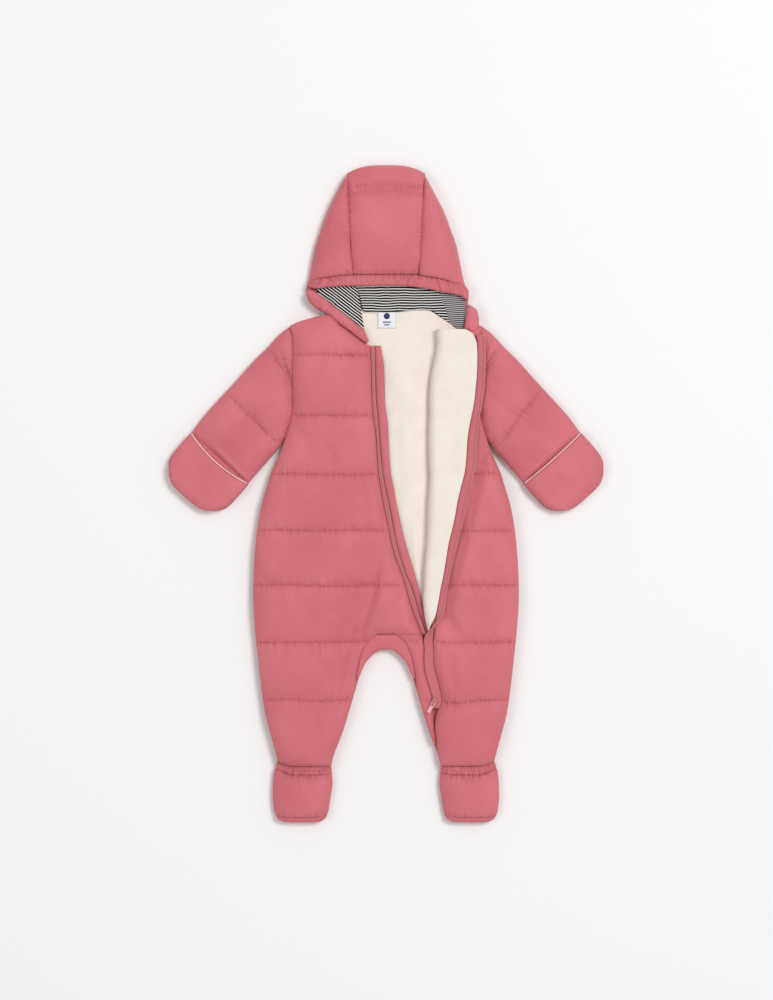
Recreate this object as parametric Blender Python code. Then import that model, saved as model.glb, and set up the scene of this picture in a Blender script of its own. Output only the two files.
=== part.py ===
"""Baby snowsuit with a hood, fold-over mitts and booties, lying open on its back.

X runs to the wearer's left, Y from the feet to the hood and Z up from the surface it lies on.
Sizes are in millimetres and become metres when a mesh is made.  Every cloth piece is a wall with
an outer and an inner face, and neighbours stay SEAM_GAP apart.
"""
import math

import bmesh
import bpy
import numpy as np
from mathutils import Vector

MM = 0.001
SEAM_GAP = 0.4

# Heights of the layers above the surface
BACK_TOP = 8.0
BACK_EDGE_LIFT = 3.6
FLEECE = 1.4
LINING_BOTTOM = BACK_TOP + SEAM_GAP
LINING_TOP = LINING_BOTTOM + FLEECE
FRONT_BOTTOM = 10.6
FRONT_EDGE_BOTTOM = BACK_TOP + SEAM_GAP
FRONT_EDGE_TOP = 13.5
FRONT_RISE = 9.5
FRONT_REACH = 32.0
FOLD_REACH = 60.0
STRIP_RISE = 5.7
QUILT_DIP = 4.0
QUILT_REACH = 13.0

# Left front, turned back on itself
FOLD_BOTTOM = 12.2
FOLD_TOP = 25.5
FOLD_SLIT = 0.6
FOLD_HALF_WALL = (FOLD_TOP - FOLD_BOTTOM - FOLD_SLIT) / 4
FOLD_MID_RADIUS = (FOLD_TOP - FOLD_BOTTOM) / 2 - FOLD_HALF_WALL
FOLD_CENTRE_Z = (FOLD_TOP + FOLD_BOTTOM) / 2
FOLD_SETBACK = FOLD_MID_RADIUS + FOLD_HALF_WALL + SEAM_GAP + FLEECE
TAPE_HALF_WALL = 1.5
STRIP_GAP = 1.0
TAPE_GAP = 0.5
TAPE_OPENING_GAP = 2.8
TAPE_CLOSED_Z = 13.2
TAPE_CLOSED_HALF = 2.4
FOLD_OPENS = -134
FOLD_OPEN = -174

# Hood
STRIPE_BOTTOM = 10.2
STRIPE_TOP = 11.6
CASING_BOTTOM = 12.2
CASING_TOP = 18.5
CASING_GAP = 1.4
CROWN_ARCH = 9.5

# Sleeves and mitts
SLEEVE_SEAM_Z = 8.2
MITT_HALF_WIDTH = 43.5
MITT_DEPTH = 57.4
MITT_CORNER = 0.2
MITT_COVER_BOW = 6.0
MITT_OVERLAP = 12.0
MITT_BACK_TOP = 8.4
MITT_COVER_BOTTOM = 11.6
MITT_COVER_RISE = 5.4
PIPING_RADIUS = 0.7

# Feet
ANKLE_TOP = 14.0
ANKLE_GAP = 0.9
BOOTIE_TOP = 17.0
SOLE_SEAM = -363.0
SOLE_END = -369.0

# Half width of the body by height: y, x.  The first eight rows are the armhole.
BODY_EDGE = np.array((
    (188, 108), (172, 104.8), (155, 105), (142, 105.5), (101, 105), (88, 106), (75, 109.5), (61, 113.5),
    (45, 119), (35, 123.5), (22, 129), (9, 133), (-9, 138.5), (-28, 142.5), (-54, 146), (-90, 148.5),
    (-115, 149), (-149, 147), (-184, 143.5), (-219, 139.5), (-246, 135.5), (-280, 127.5), (-304.5, 121.5)))
QUILT_Y = (155, 88, 22, -41, -102.5, -166, -232)
NECK_START = 150.0
LEG_END_START = -246.0
LEG_END = -304.5
# Where the two legs part, and where the columns above start to lean towards the fork
FRONT_FORK = -157
FRONT_LEAN = -41
BACK_FORK = -174
BACK_LEAN = -65

# Inner edge of each leg on the back panel: y, x
FORK_BACK = np.array((
    (-174, 7), (-180, 14.5), (-189, 22.5), (-207, 30.5), (-219, 34), (-246, 42), (-262, 46.8),
    (-280, 53.5), (-293, 58.5), (-304.5, 61.3)))
# The same edge on the fronts, where the gusset is let in
FORK_FRONT = np.array((
    (-157, 9.5), (-166, 20.5), (-174, 25), (-184, 28.9), (-195, 31.4), (-206, 33.4), (-219, 34.6),
    (-232, 37.8), (-246, 42), (-262, 46.8), (-280, 53.5), (-293, 58.5), (-304.5, 61.3)))
# Gusset from the middle of the fork to one side: x and y on the leg edge, x and y on its seam
GUSSET = ((0, -174, 0, -157.6), (7, -174.8, 9, -158), (14.5, -180, 20, -166.2), (19, -184.5, 24.4, -174),
          (22.5, -189, 28.2, -184), (27, -198, 30.7, -195), (30.2, -206, 32.7, -206.2))

# Shoulder and neck edges: x, y
BACK_TOP_EDGE = np.array(((-108, 188), (-87, 196), (-66, 201), (-45, 207.2), (45, 207.2), (66, 201),
                          (87, 196), (108, 188)))
FRONT_RIGHT_TOP_EDGE = np.array(((-108, 188), (-100, 192), (-87, 196), (-66, 200.6), (-50, 187.6),
                                 (-40, 180.6), (-30, 172.6), (-22, 167.6), (-17, 166)))
# Lower end of each leg, from the inner edge out: x, y
LEG_END_EDGE = np.array(((61, -304.5), (105, -304.5), (115, -302), (122, -298.5)))
ANKLE_LOWER_EDGE = np.array(((61, -313), (75, -315.5), (105, -315.5), (122, -309)))

# Right zip edge: y, panel edge, outer edge of the tape, outer edge of the wind guard
ZIP_RIGHT = np.array((
    (166, -17.5, -13, -6), (155, -17, -12.5, -4), (142, -16.6, -12.5, -2), (121, -16.2, -12, -1.4),
    (101, -15.4, -11, -1), (88, -14.4, -9.8, 1), (75, -12.4, -8.6, 2.4), (61, -10.9, -7.6, 3),
    (35, -9.3, -5.4, 4.4), (22, -8.2, -3.8, 5.8), (9, -6.2, -1.6, 8.4), (-9, -3.2, 2.2, 11.4),
    (-28, 0.8, 6, 15.6), (-41, 3.4, 8.2, 18.4), (-54, 6, 10.8, 21.8), (-72, 10.8, 15.8, 27),
    (-90, 17.8, 21.8, 32.5), (-102.5, 21.8, 27, 36), (-115, 25.2, 31.4, 38.8), (-134, 31.4, 36.6, 43.4),
    (-149, 37.4, 42, 46.6), (-157, 40.8, 44.6, 48)))
# Strip of the right front beside the zip on the left leg: y, x
ZIP_STRIP = np.array(((-157, 40.8), (-166, 43), (-174, 43.5), (-184, 43), (-195, 43.6), (-206, 46),
                      (-219, 50), (-232, 53), (-246, 53), (-262, 53.8), (-280, 56)))
STRIP_END = -280
GUARD_END = -142
ZIP_TOP_RIGHT = 166
ZIP_TOP_LEFT = 178
# Left front: y, fold line, free edge, width of zip tape, turn of the fold in degrees
FOLD = np.array((
    (188, 57, 97, 9, 180), (172, 58, 101.5, 9.5, 180), (155, 55.5, 102, 9, 180), (142, 53.5, 101.8, 9, 180),
    (121, 50.6, 100.4, 9.5, 180), (101, 50, 98.2, 9, 180), (88, 49.6, 95.6, 9.2, 180),
    (75, 49.2, 93, 10.4, 180), (61, 49, 91, 11, 180), (35, 49.6, 89.2, 11.4, 180), (22, 50, 87.4, 10.6, 180),
    (9, 49.6, 84, 10.8, 180), (-9, 48.6, 79.8, 10.6, 180), (-28, 47.8, 76.4, 9.8, 180),
    (-41, 46.6, 73.4, 9.4, 180), (-54, 45.8, 70.2, 9.6, 180), (-72, 44.4, 67.2, 8.4, 180),
    (-90, 43.2, 64.2, 7, 180), (-102.5, 42.4, 61.6, 7, 180), (-115, 42.4, 59.4, 7.4, 180),
    (-134, 44, 57, 7.8, 170), (-149, 46.6, 56, 8.4, 120), (-157, 48.2, 54.6, 8.6, 75),
    (-166, 50, 53, 8.6, 25), (-174, 51.8, 52.6, 8.3, 0)))
# Left front down the leg: y, edge at the zip or the inner leg
LEG_ZIP_EDGE = np.array(((-174, 52.6), (-184, 52.6), (-195, 53.8), (-206, 56.6), (-219, 60), (-232, 63),
                         (-246, 58), (-262, 54.6), (-280, 56.8), (-293, 58.5), (-304.5, 61.3)))
ZIP_CLOSED_END = -240
LINING_FOLD_END = -146

# Back lining: y, its two edges
BACK_LINING = np.array(((206, -40, 50), (188, -40, 97), (172, -34, 72), (150, -28, 70), (100, -26, 64),
                        (50, -22, 63), (0, -17, 63), (-41, -8, 60), (-72, 0, 58), (-102, 10, 56),
                        (-134, 20, 58), (-158, 30, 60)))

# Hood outline: y, half width
HOOD_OUTLINE = np.array(((355, 50.5), (342, 56), (333, 60.5), (315, 68), (297, 73.5), (279, 79),
                         (261, 82.8), (243, 86), (225, 90), (216, 88.5), (207, 77)))
HOOD_SIDE_TOP = 355.0
# Lower edge of the hood's back: half width, y
HOOD_BACK_END = np.array(((0, 207.8), (45, 207.8), (66, 203), (74, 207), (81, 212.5), (89, 221)))
# Face opening: x, free edge of the casing, its stitch line
BROW = np.array(((-86, 231, 238), (-77, 230, 240.6), (-62, 232, 243), (-45, 233, 245), (-15, 233.2, 245.2),
                 (15, 233.2, 245.2), (35, 231.4, 245), (50, 229, 243), (65, 225.6, 240), (78, 223.4, 235.8),
                 (91, 220, 233)))
# Casing below the face on the right: neck seam x and y, free edge x and y
CASING_RIGHT = ((-89.5, 223.5, -85, 229.5), (-87, 216.5, -78.5, 226), (-80, 209.2, -69, 219),
                (-66, 201.2, -58, 210.4), (-50, 188.4, -43, 199), (-40, 181.4, -32.5, 190),
                (-30, 173.4, -25.5, 184.6), (-22, 168.2, -19, 171.4))
# Casing end beside the left front: x, lower y, upper y
CASING_LEFT = ((88.4, 188.6, 211.6), (93, 188.6, 210.6), (98, 188.6, 207.6), (101.6, 188.6, 204))
# Section of the hood's centre, brow to crown to neck: outer y and z, inner y and z
HOOD_SECTION = (
    (245.6, 16.5, 245.6, 12.0), (251, 19.5, 251, 11.4), (268, 22.3, 268, 11.4), (292, 23, 292, 11.4),
    (316, 22.4, 316, 11.4), (334, 20.6, 334, 11.4), (342.5, 17.4, 341, 11.4), (351, 19, 349, 11.4),
    (362, 16.4, 356.5, 11), (367.6, 12.4, 361, 10.2), (369, 8.6, 362, 9.7), (367.6, 4, 361, 9.2),
    (362, 0.8, 356.5, 8.4), (352, 0, 350, 8), (322, 0, 322, 8), (285, 0, 285, 8), (245.6, 0, 245.6, 8),
    (225, 0, 225, 8), (207.8, 0, 207.8, 8))
# Section of a hood side, seam to edge to seam: outer reach and z, inner reach and z, share of the back
HOOD_SIDE_SECTION = (
    (0, 18.5, 0, 11.4, 0), (0.12, 21, 0.12, 11.4, 0), (0.35, 22.6, 0.33, 11.4, 0),
    (0.62, 21.6, 0.56, 11.4, 0), (0.84, 17.8, 0.76, 11.4, 0), (0.97, 11.9, 0.86, 10.6, 0.06),
    (1, 8.4, 0.88, 9.7, 0.5), (0.95, 2.6, 0.85, 8.8, 0.85), (0.84, 0, 0.76, 8, 1), (0.4, 0, 0.4, 8, 1),
    (0, 0, 0, 8, 1))

# Sleeve: share of the way down, upper edge x and y, lower edge x and y, height
SLEEVE = np.array((
    (0, 108, 188, 113.9, 61, 15), (0.08, 118, 180.6, 119, 54, 19.5), (0.2, 132, 165.4, 124.5, 46, 21),
    (0.33, 149, 148.6, 129.5, 40.5, 21), (0.46, 165.5, 130, 134.5, 34.6, 20.5),
    (0.58, 179.6, 114.6, 140, 28.4, 20), (0.7, 193.4, 99.8, 145.4, 22.2, 19),
    (0.81, 207, 84, 150.4, 16.4, 16.5),
    (0.91, 219, 67.5, 155, 10.5, 12), (1, 227, 58.6, 163, 1.6, 10.4)))
SLEEVE_RING = (1, 0.96, 0.874, 0.74, 0.638, 0.48, 0.315, 0.213, 0.11, 0.04, 0)
LEG_RING = (1, 0.96, 0.84, 0.62, 0.38, 0.16, 0.04, 0)

# Foot outline: y, inner x, outer x
FOOT = np.array(((-313, 60.6, 125), (-324, 59.8, 126.6), (-342, 62.2, 127.2), (-355, 64.4, 125.6),
                 (-363, 68.5, 121)))

SHELL_HEX = "C86B74"
FLEECE_HEX = "F1EADF"
STRIPE_HEX = "9A9CA8"
PIPING_HEX = "F0DCD2"
LABEL_HEX = "F7F7F5"
METAL_HEX = "E3A0A4"

COLLECTION = "baby_snowsuit"
CUTTERS = "cutters"


def read(table, column, at):
    """Value in a table's column where its first column is at, straight between rows."""
    order = np.argsort(table[:, 0])
    return float(np.interp(at, table[order, 0], table[order, column]))


def dome(distance, reach):
    """Rounded rise from 0 at an edge to 1 at the given reach from it."""
    share = min(max(distance / reach, 0), 1)
    return math.sqrt(1 - (1 - share) ** 2)


def mix(start, end, share):
    return start + (end - start) * share


def steps(count):
    """Evenly spaced shares from 0 to 1."""
    return [index / count for index in range(count + 1)]


def linear(hex_colour):
    """sRGB hex colour as linear red, green, blue and alpha."""
    channels = [int(hex_colour[place:place + 2], 16) / 255 for place in (0, 2, 4)]
    return [((c + 0.055) / 1.055) ** 2.4 if c > 0.04045 else c / 12.92 for c in channels] + [1]


def cloth_material(name, hex_colour, roughness, metallic=0.0):
    material = bpy.data.materials.new(name)
    material.use_nodes = True
    shader = material.node_tree.nodes["Principled BSDF"]
    shader.inputs["Base Color"].default_value = linear(hex_colour)
    shader.inputs["Roughness"].default_value = roughness
    shader.inputs["Metallic"].default_value = metallic
    return material


def add_object(name, bm, hex_colour, roughness=0.6, metallic=0.0):
    bmesh.ops.recalc_face_normals(bm, faces=bm.faces)
    mesh = bpy.data.meshes.new(name)
    bm.to_mesh(mesh)
    bm.free()
    mesh.materials.append(cloth_material(name, hex_colour, roughness, metallic))
    mesh.shade_smooth()
    mesh.set_sharp_from_angle(angle=math.radians(40))
    obj = bpy.data.objects.new(name, mesh)
    bpy.data.collections[COLLECTION].objects.link(obj)
    return obj


def cloth_wall(name, across, down, outer, inner, hex_colour=SHELL_HEX, ring=False, left_open=None):
    """Closed wall between two faces.

    across and down hold the stations of its grid.  outer and inner give the place of a station on
    each face.  A ring joins its last column to its first.  left_open(column, row) names cells
    that stay out, such as the gap between the legs.
    """
    columns = len(across) - 1
    rows = len(down) - 1
    bm = bmesh.new()
    bmesh.ops.create_grid(bm, x_segments=columns, y_segments=rows, size=0.5)
    column_of = bm.verts.layers.int.new("column")
    row_of = bm.verts.layers.int.new("row")
    for vert in bm.verts:
        vert[column_of] = round((vert.co.x + 0.5) * columns)
        vert[row_of] = round((vert.co.y + 0.5) * rows)
    if left_open:
        gone = [face for face in bm.faces
                if left_open(min(v[column_of] for v in face.verts), min(v[row_of] for v in face.verts))]
        bmesh.ops.delete(bm, geom=gone, context="FACES")

    def place(vert, face):
        vert.co = Vector(face(across[vert[column_of]], down[vert[row_of]])) * MM

    for vert in bm.verts:
        place(vert, outer)
    if ring:
        bmesh.ops.remove_doubles(bm, verts=bm.verts, dist=1e-6)
    raised = bmesh.ops.extrude_face_region(bm, geom=bm.faces[:])["geom"]
    outside = {item for item in raised if isinstance(item, bmesh.types.BMVert)}
    for vert in bm.verts:
        if vert not in outside:
            place(vert, inner)
    return add_object(name, bm, hex_colour)


def panel_row_y(x, row, top_edge):
    """Y of a body row at x.  Rows near the neck and the ankle follow those edges."""
    if row > NECK_START:
        share = (row - NECK_START) / (BODY_EDGE[0, 0] - NECK_START)
        return mix(NECK_START, read(top_edge, 1, x), share)
    if row < LEG_END_START:
        share = (row - LEG_END_START) / (LEG_END - LEG_END_START)
        return mix(LEG_END_START, read(LEG_END_EDGE, 1, abs(x)), share)
    return row


def quilt_dip(row):
    """Share of the quilting dip at a body row: 1 on a stitched line, 0 away from it."""
    return max(max(0, 1 - abs(row - line) / QUILT_REACH) for line in QUILT_Y)


def end_share(row):
    """Share of the full padding left near the shoulder and ankle ends of a body panel."""
    return dome(BODY_EDGE[0, 0] - row, 26) * mix(0.35, 1, dome(row - LEG_END, 26))


def front_top(edge_distance, row, rise=FRONT_RISE):
    swell = dome(edge_distance, FRONT_REACH) * end_share(row)
    return FRONT_EDGE_TOP + swell * (rise - QUILT_DIP * quilt_dip(row))


def edge_slope(edge_distance, low, high, reach=12.0):
    return mix(low, high, dome(edge_distance, reach))


def fork_blend(row, first, last):
    """0 above the first row, 1 at the last, where the columns have parted for the legs."""
    return min(max((first - row) / (first - last), 0), 1)


# Back --------------------------------------------------------------------------------------

def make_back():
    columns = 11
    rows = (188, 172, 155, 142, 101, 88, 75, 61, 35, 9, -54, -90, -134, -160, -174, -180, -189, -207, -232,
            -246, -280, -304.5)

    def column_x(column, row):
        edge = read(BODY_EDGE, 1, row)
        spread = mix(-edge, edge, column / columns)
        parted = fork_blend(row, BACK_LEAN, BACK_FORK)
        fork = read(FORK_BACK, 1, row)
        half = columns // 2
        if column <= half:
            return mix(spread, mix(-edge, -fork, column / half), parted)
        return mix(spread, mix(fork, edge, (column - half - 1) / half), parted)

    def face(z_middle, z_edge):
        def place(column, row):
            x = column_x(column, row)
            z = edge_slope(read(BODY_EDGE, 1, row) - abs(x), z_edge, z_middle)
            return x, panel_row_y(x, row, BACK_TOP_EDGE), z
        return place

    half = columns // 2
    cloth_wall("back", range(columns + 1), rows, face(BACK_TOP, BACK_TOP), face(0, BACK_EDGE_LIFT),
               left_open=lambda column, row: column == half and rows[row] <= BACK_FORK)


# Fronts ------------------------------------------------------------------------------------

FRONT_ROWS = (188, 172, 155, 142, 121, 101, 88, 75, 61, 35, 22, 9, -9, -28, -41, -54, -72, -90, -102.5,
              -115, -134, -149, -157, -166, -174, -184, -195, -206, -219, -232, -246, -262, -280, -293,
              -304.5)


def make_front_right():
    body, strip = 8, 2
    columns = body + 1 + strip

    def zip_edge(row):
        return read(ZIP_RIGHT, 1, row) if row >= FRONT_FORK else read(ZIP_STRIP, 1, row)

    def column_x(column, row):
        side = -read(BODY_EDGE, 1, row)
        spread = mix(side, zip_edge(row), column / columns)
        parted = fork_blend(row, FRONT_LEAN, FRONT_FORK)
        fork = read(FORK_FRONT, 1, row)
        if column <= body:
            return mix(spread, mix(side, -fork, column / body), parted)
        return mix(spread, mix(fork, zip_edge(row), (column - body - 1) / strip), parted)

    def edge_distance(x, row):
        if row > FRONT_FORK:
            return min(x + read(BODY_EDGE, 1, row), zip_edge(row) - x)
        if x < 0:
            return min(x + read(BODY_EDGE, 1, row), -read(FORK_FRONT, 1, row) - x)
        return min(x - read(FORK_FRONT, 1, row), zip_edge(row) - x)

    def top(column, row):
        x = column_x(column, row)
        rise = FRONT_RISE if column <= body or row > FRONT_FORK else STRIP_RISE
        return x, panel_row_y(x, row, FRONT_RIGHT_TOP_EDGE), front_top(edge_distance(x, row), row, rise)

    def underside(column, row):
        x = column_x(column, row)
        side_distance = x + read(BODY_EDGE, 1, row) if x < 0 else FRONT_REACH
        z = edge_slope(side_distance, FRONT_EDGE_BOTTOM, FRONT_BOTTOM)
        return x, panel_row_y(x, row, FRONT_RIGHT_TOP_EDGE), z

    def open_cell(column, row):
        height = FRONT_ROWS[row]
        return (column == body and height <= FRONT_FORK) or (column > body and height <= STRIP_END)

    cloth_wall("front_right", range(columns + 1), FRONT_ROWS, top, underside, left_open=open_cell)


def fold_point(row, distance, offset):
    """Point of the left front beyond the start of its turn.

    distance runs along the middle of the cloth, and is negative on the layer below.
    offset is measured towards the lining.  Gives x and z.
    """
    fold, turn = read(FOLD, 1, row), math.radians(read(FOLD, 4, row))
    centre = fold + FOLD_SETBACK * math.sin(min(turn, math.pi / 2)) if row > FOLD_OPEN else fold
    angle = min(max(distance, 0) / FOLD_MID_RADIUS, turn)
    beyond = max(distance - FOLD_MID_RADIUS * turn, 0) + min(distance, 0)
    sin, cos = math.sin(angle), math.cos(angle)
    x = centre - FOLD_MID_RADIUS * sin - beyond * cos - offset * sin
    z = FOLD_CENTRE_Z - FOLD_MID_RADIUS * cos + beyond * sin - offset * cos
    return x, z


def fold_reach(row):
    """Distance from the start of the turn to the free edge of the left front."""
    turn = math.radians(read(FOLD, 4, row))
    fold = read(FOLD, 1, row)
    centre = fold + FOLD_SETBACK * math.sin(min(turn, math.pi / 2))
    straight = max(read(FOLD, 2, row) - centre, 0.2) if turn > math.pi / 2 else 0.2
    return FOLD_MID_RADIUS * turn + straight


LOWER_COLUMNS, TURN_COLUMNS, UPPER_COLUMNS = 5, 4, 2
LEFT_COLUMNS = LOWER_COLUMNS + TURN_COLUMNS + UPPER_COLUMNS


def left_front_y(column, row):
    """Y of a left front station: the neck edge drops from the shoulder to the zip corner."""
    if row > NECK_START:
        neck = np.interp(column, (0, 1.5, LOWER_COLUMNS, LEFT_COLUMNS - 1, LEFT_COLUMNS),
                         (188, 184.5, 184.5, 184, 179))
        return mix(NECK_START, float(neck), (row - NECK_START) / (BODY_EDGE[0, 0] - NECK_START))
    return row


def make_front_left():
    def fold_distance(column, row):
        turn_length = FOLD_MID_RADIUS * math.radians(read(FOLD, 4, row))
        if column <= LOWER_COLUMNS + TURN_COLUMNS:
            return turn_length * (column - LOWER_COLUMNS) / TURN_COLUMNS
        share = (column - LOWER_COLUMNS - TURN_COLUMNS) / UPPER_COLUMNS
        return mix(turn_length, fold_reach(row), share)

    def flat_x(column, row):
        """Flat layer from the side seam to the zip or the inner leg."""
        return mix(read(BODY_EDGE, 1, row), read(LEG_ZIP_EDGE, 1, row), column / LEFT_COLUMNS)

    def folded(column, row, face):
        side = read(BODY_EDGE, 1, row)
        if column < LOWER_COLUMNS:
            turn_start = fold_point(row, 0, 0)[0]
            x = mix(side, turn_start, column / LOWER_COLUMNS)
            band = read(FOLD, 2, row) + read(FOLD, 3, row)
            pressed = min(max((x - band) / 14, 0), 1)
            under_fold = FOLD_CENTRE_Z - FOLD_SLIT / 2
            if face > 0:
                free = front_top(min(side - x, FOLD_REACH), row)
                return x, min(free, mix(under_fold, free, pressed))
            return x, edge_slope(side - x, FRONT_EDGE_BOTTOM, FOLD_BOTTOM)
        return fold_point(row, fold_distance(column, row), -face * FOLD_HALF_WALL)

    def flat(column, row, face):
        x = flat_x(column, row)
        side_distance = read(BODY_EDGE, 1, row) - x
        if face > 0:
            return x, front_top(min(side_distance, x - read(LEG_ZIP_EDGE, 1, row)), row)
        return x, edge_slope(side_distance, FRONT_EDGE_BOTTOM, FRONT_BOTTOM)

    def placed(face):
        def place(column, row):
            if row >= FOLD_OPENS:
                x, z = folded(column, row, face)
                return x, left_front_y(column, row), z
            opened = fork_blend(row, FOLD_OPENS, FOLD_OPEN)
            x, z = flat(column, row, face)
            if opened < 1:
                fold_x, fold_z = folded(column, row, face)
                x, z = mix(fold_x, x, opened), mix(fold_z, z, opened)
            return x, panel_row_y(x, row, BACK_TOP_EDGE), z
        return place

    cloth_wall("front_left", range(LEFT_COLUMNS + 1), FRONT_ROWS, placed(1), placed(-1))


def make_front_left_lining():
    under = 9.0
    rows = [row for row in FRONT_ROWS if row >= FOLD_OPENS] + [LINING_FOLD_END]
    layer_bottom = FOLD_HALF_WALL + SEAM_GAP

    def distance(column, row):
        turn_length = FOLD_MID_RADIUS * math.radians(read(FOLD, 4, row))
        if column == 0:
            return -under
        if column <= 5:
            return turn_length * (column - 1) / 4
        return mix(turn_length, fold_reach(row), (column - 5) / 3)

    def placed(offset):
        def place(column, row):
            x, z = fold_point(row, distance(column, row), offset)
            front_column = LOWER_COLUMNS if column < 3 else LOWER_COLUMNS + column - 2
            return x, left_front_y(min(front_column + column // 8, LEFT_COLUMNS), row), z
        return place

    cloth_wall("front_left_lining", range(9), rows, placed(layer_bottom + FLEECE), placed(layer_bottom),
               FLEECE_HEX)


def make_back_lining():
    def placed(z):
        def place(column, row):
            x = mix(read(BACK_LINING, 1, row), read(BACK_LINING, 2, row), column / 5)
            share = max(row - NECK_START, 0) / (206 - NECK_START)
            y = mix(row, mix(NECK_START, read(BACK_TOP_EDGE, 1, x) - 1, share), share)
            return x, y, z
        return place

    rows = (206, 188, 172, 150, 125, 75, 25, -20, -60, -102, -158)
    cloth_wall("back_lining", range(6), rows, placed(LINING_TOP), placed(LINING_BOTTOM), FLEECE_HEX)


# Zip ---------------------------------------------------------------------------------------

def make_zip_right():
    """Right zip tape and the wind guard beside it, both under the edge of the right front."""
    tape_rows = [ZIP_TOP_RIGHT] + [row for row in FRONT_ROWS if 155 >= row >= FRONT_FORK]
    guard_rows = [row for row in tape_rows if row >= FOLD_OPENS] + [GUARD_END]

    def strip(near, far, z):
        def place(column, row):
            return mix(read(ZIP_RIGHT, near, row) + SEAM_GAP, read(ZIP_RIGHT, far, row), column), row, z
        return place

    cloth_wall("zip_tape_right", range(2), tape_rows, strip(1, 2, 15.0), strip(1, 2, 10.4))
    cloth_wall("wind_guard", range(2), guard_rows, strip(2, 3, 13.6), strip(2, 3, 10.2))


def make_zip_tape_left():
    rows = [ZIP_TOP_LEFT] + [row for row in FRONT_ROWS if 172 >= row >= -232] + [ZIP_CLOSED_END]

    def placed(side):
        def place(column, row):
            edge = read(LEG_ZIP_EDGE, 1, row) - SEAM_GAP
            left = read(ZIP_STRIP, 1, row) + STRIP_GAP
            x, z = mix(edge, left, column), TAPE_CLOSED_Z - side * TAPE_CLOSED_HALF
            opened = fork_blend(row, FOLD_OPENS, FOLD_OPEN)
            if opened < 1:
                gap = mix(TAPE_GAP, TAPE_OPENING_GAP, min(1, 3 * opened))
                reach = fold_reach(row) + gap + read(FOLD, 3, row) * column
                fold_x, fold_z = fold_point(row, reach, side * TAPE_HALF_WALL)
                x, z = mix(fold_x, x, opened), mix(fold_z, z, opened)
            return x, row, z
        return place

    cloth_wall("zip_tape_left", range(2), rows, placed(-1), placed(1))


PULL_PIVOT = (53.2, -233.4, 20.8)
PULL_DIRECTION = math.atan2(-11.0, -6.2)
PULL_LENGTH = 12.5
PULL_THICKNESS = 1.2
SLIDER_BOTTOM = 16.4
SLIDER_TOP = 18.6
BAIL_TOP = 23.0


def block(name, collection, centre_along, size, bottom):
    """Box on the slider, lengthwise along the pull's rest direction."""
    bpy.ops.mesh.primitive_cube_add(size=1)
    obj = bpy.context.object
    obj.name = name
    cos, sin = math.cos(PULL_DIRECTION), math.sin(PULL_DIRECTION)
    obj.location = Vector((PULL_PIVOT[0] + centre_along * cos, PULL_PIVOT[1] + centre_along * sin,
                           bottom + size[2] / 2)) * MM
    obj.rotation_euler.z = PULL_DIRECTION
    obj.scale = Vector(size) * MM
    for home in list(obj.users_collection):
        home.objects.unlink(obj)
    bpy.data.collections[collection].objects.link(obj)
    return obj


def make_zip_slider():
    """Slider body with a bail standing on it, one cast piece, open across under the bail."""
    slider = block("zip_slider", COLLECTION, -1.0, (8.6, 6.0, SLIDER_TOP - SLIDER_BOTTOM), SLIDER_BOTTOM)
    slider.data.materials.append(cloth_material("zip_slider", METAL_HEX, 0.4, 0.6))
    bail = block("bail_block", CUTTERS, 0, (5.6, 1.2, BAIL_TOP - SLIDER_TOP + 0.5), SLIDER_TOP - 0.5)
    opening = block("bail_opening", CUTTERS, 0, (3.8, 4.0, BAIL_TOP - SLIDER_TOP - 1.6), SLIDER_TOP + 0.6)
    for helper, operation in ((bail, "UNION"), (opening, "DIFFERENCE")):
        helper.hide_render = True
        helper.display_type = "WIRE"
        boolean = slider.modifiers.new(operation, "BOOLEAN")
        boolean.operation = operation
        boolean.object = helper


def make_zip_pull():
    """Flat tab whose eye hangs on the bail; its cross bar lies in the bail's opening."""
    along_at = (-0.6, 0.6, 4.0, 8.5, PULL_LENGTH)
    across_at = (-2.1, -1.1, 1.1, 2.1)
    cos, sin = math.cos(PULL_DIRECTION), math.sin(PULL_DIRECTION)

    def placed(offset):
        def place(along, across):
            narrow = 0.8 if along == PULL_LENGTH else 1
            x = PULL_PIVOT[0] + along * cos - across * narrow * sin
            y = PULL_PIVOT[1] + along * sin + across * narrow * cos
            return x, y, PULL_PIVOT[2] + offset
        return place

    cloth_wall("zip_pull", along_at, across_at, placed(PULL_THICKNESS / 2), placed(-PULL_THICKNESS / 2),
               METAL_HEX, left_open=lambda column, row: column == 1 and row == 1)


def make_zip():
    make_zip_right()
    make_zip_tape_left()
    make_zip_slider()
    make_zip_pull()


# Crotch gusset -----------------------------------------------------------------------------

def make_crotch_gusset():
    half = [(-x, y, -seam_x, seam_y) for x, y, seam_x, seam_y in reversed(GUSSET[1:])]
    stations = half + list(GUSSET)

    def placed(edge_z, middle_z):
        def place(station, share):
            x, y, seam_x, seam_y = station
            return mix(x, seam_x, share), mix(y, seam_y, share), middle_z if 0 < share < 1 else edge_z
        return place

    cloth_wall("crotch_gusset", stations, (0, 0.5, 1), placed(13.0, 15.5),
               placed(FRONT_EDGE_BOTTOM, FRONT_EDGE_BOTTOM))


# Hood --------------------------------------------------------------------------------------

def hood_seam(y):
    """Half width of the hood's centre panel."""
    return 37 + 0.0575 * max(0, y - 245) + 0.05 * max(0, 245 - y)


def brow_stitch(x):
    return read(BROW, 2, x)


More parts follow.
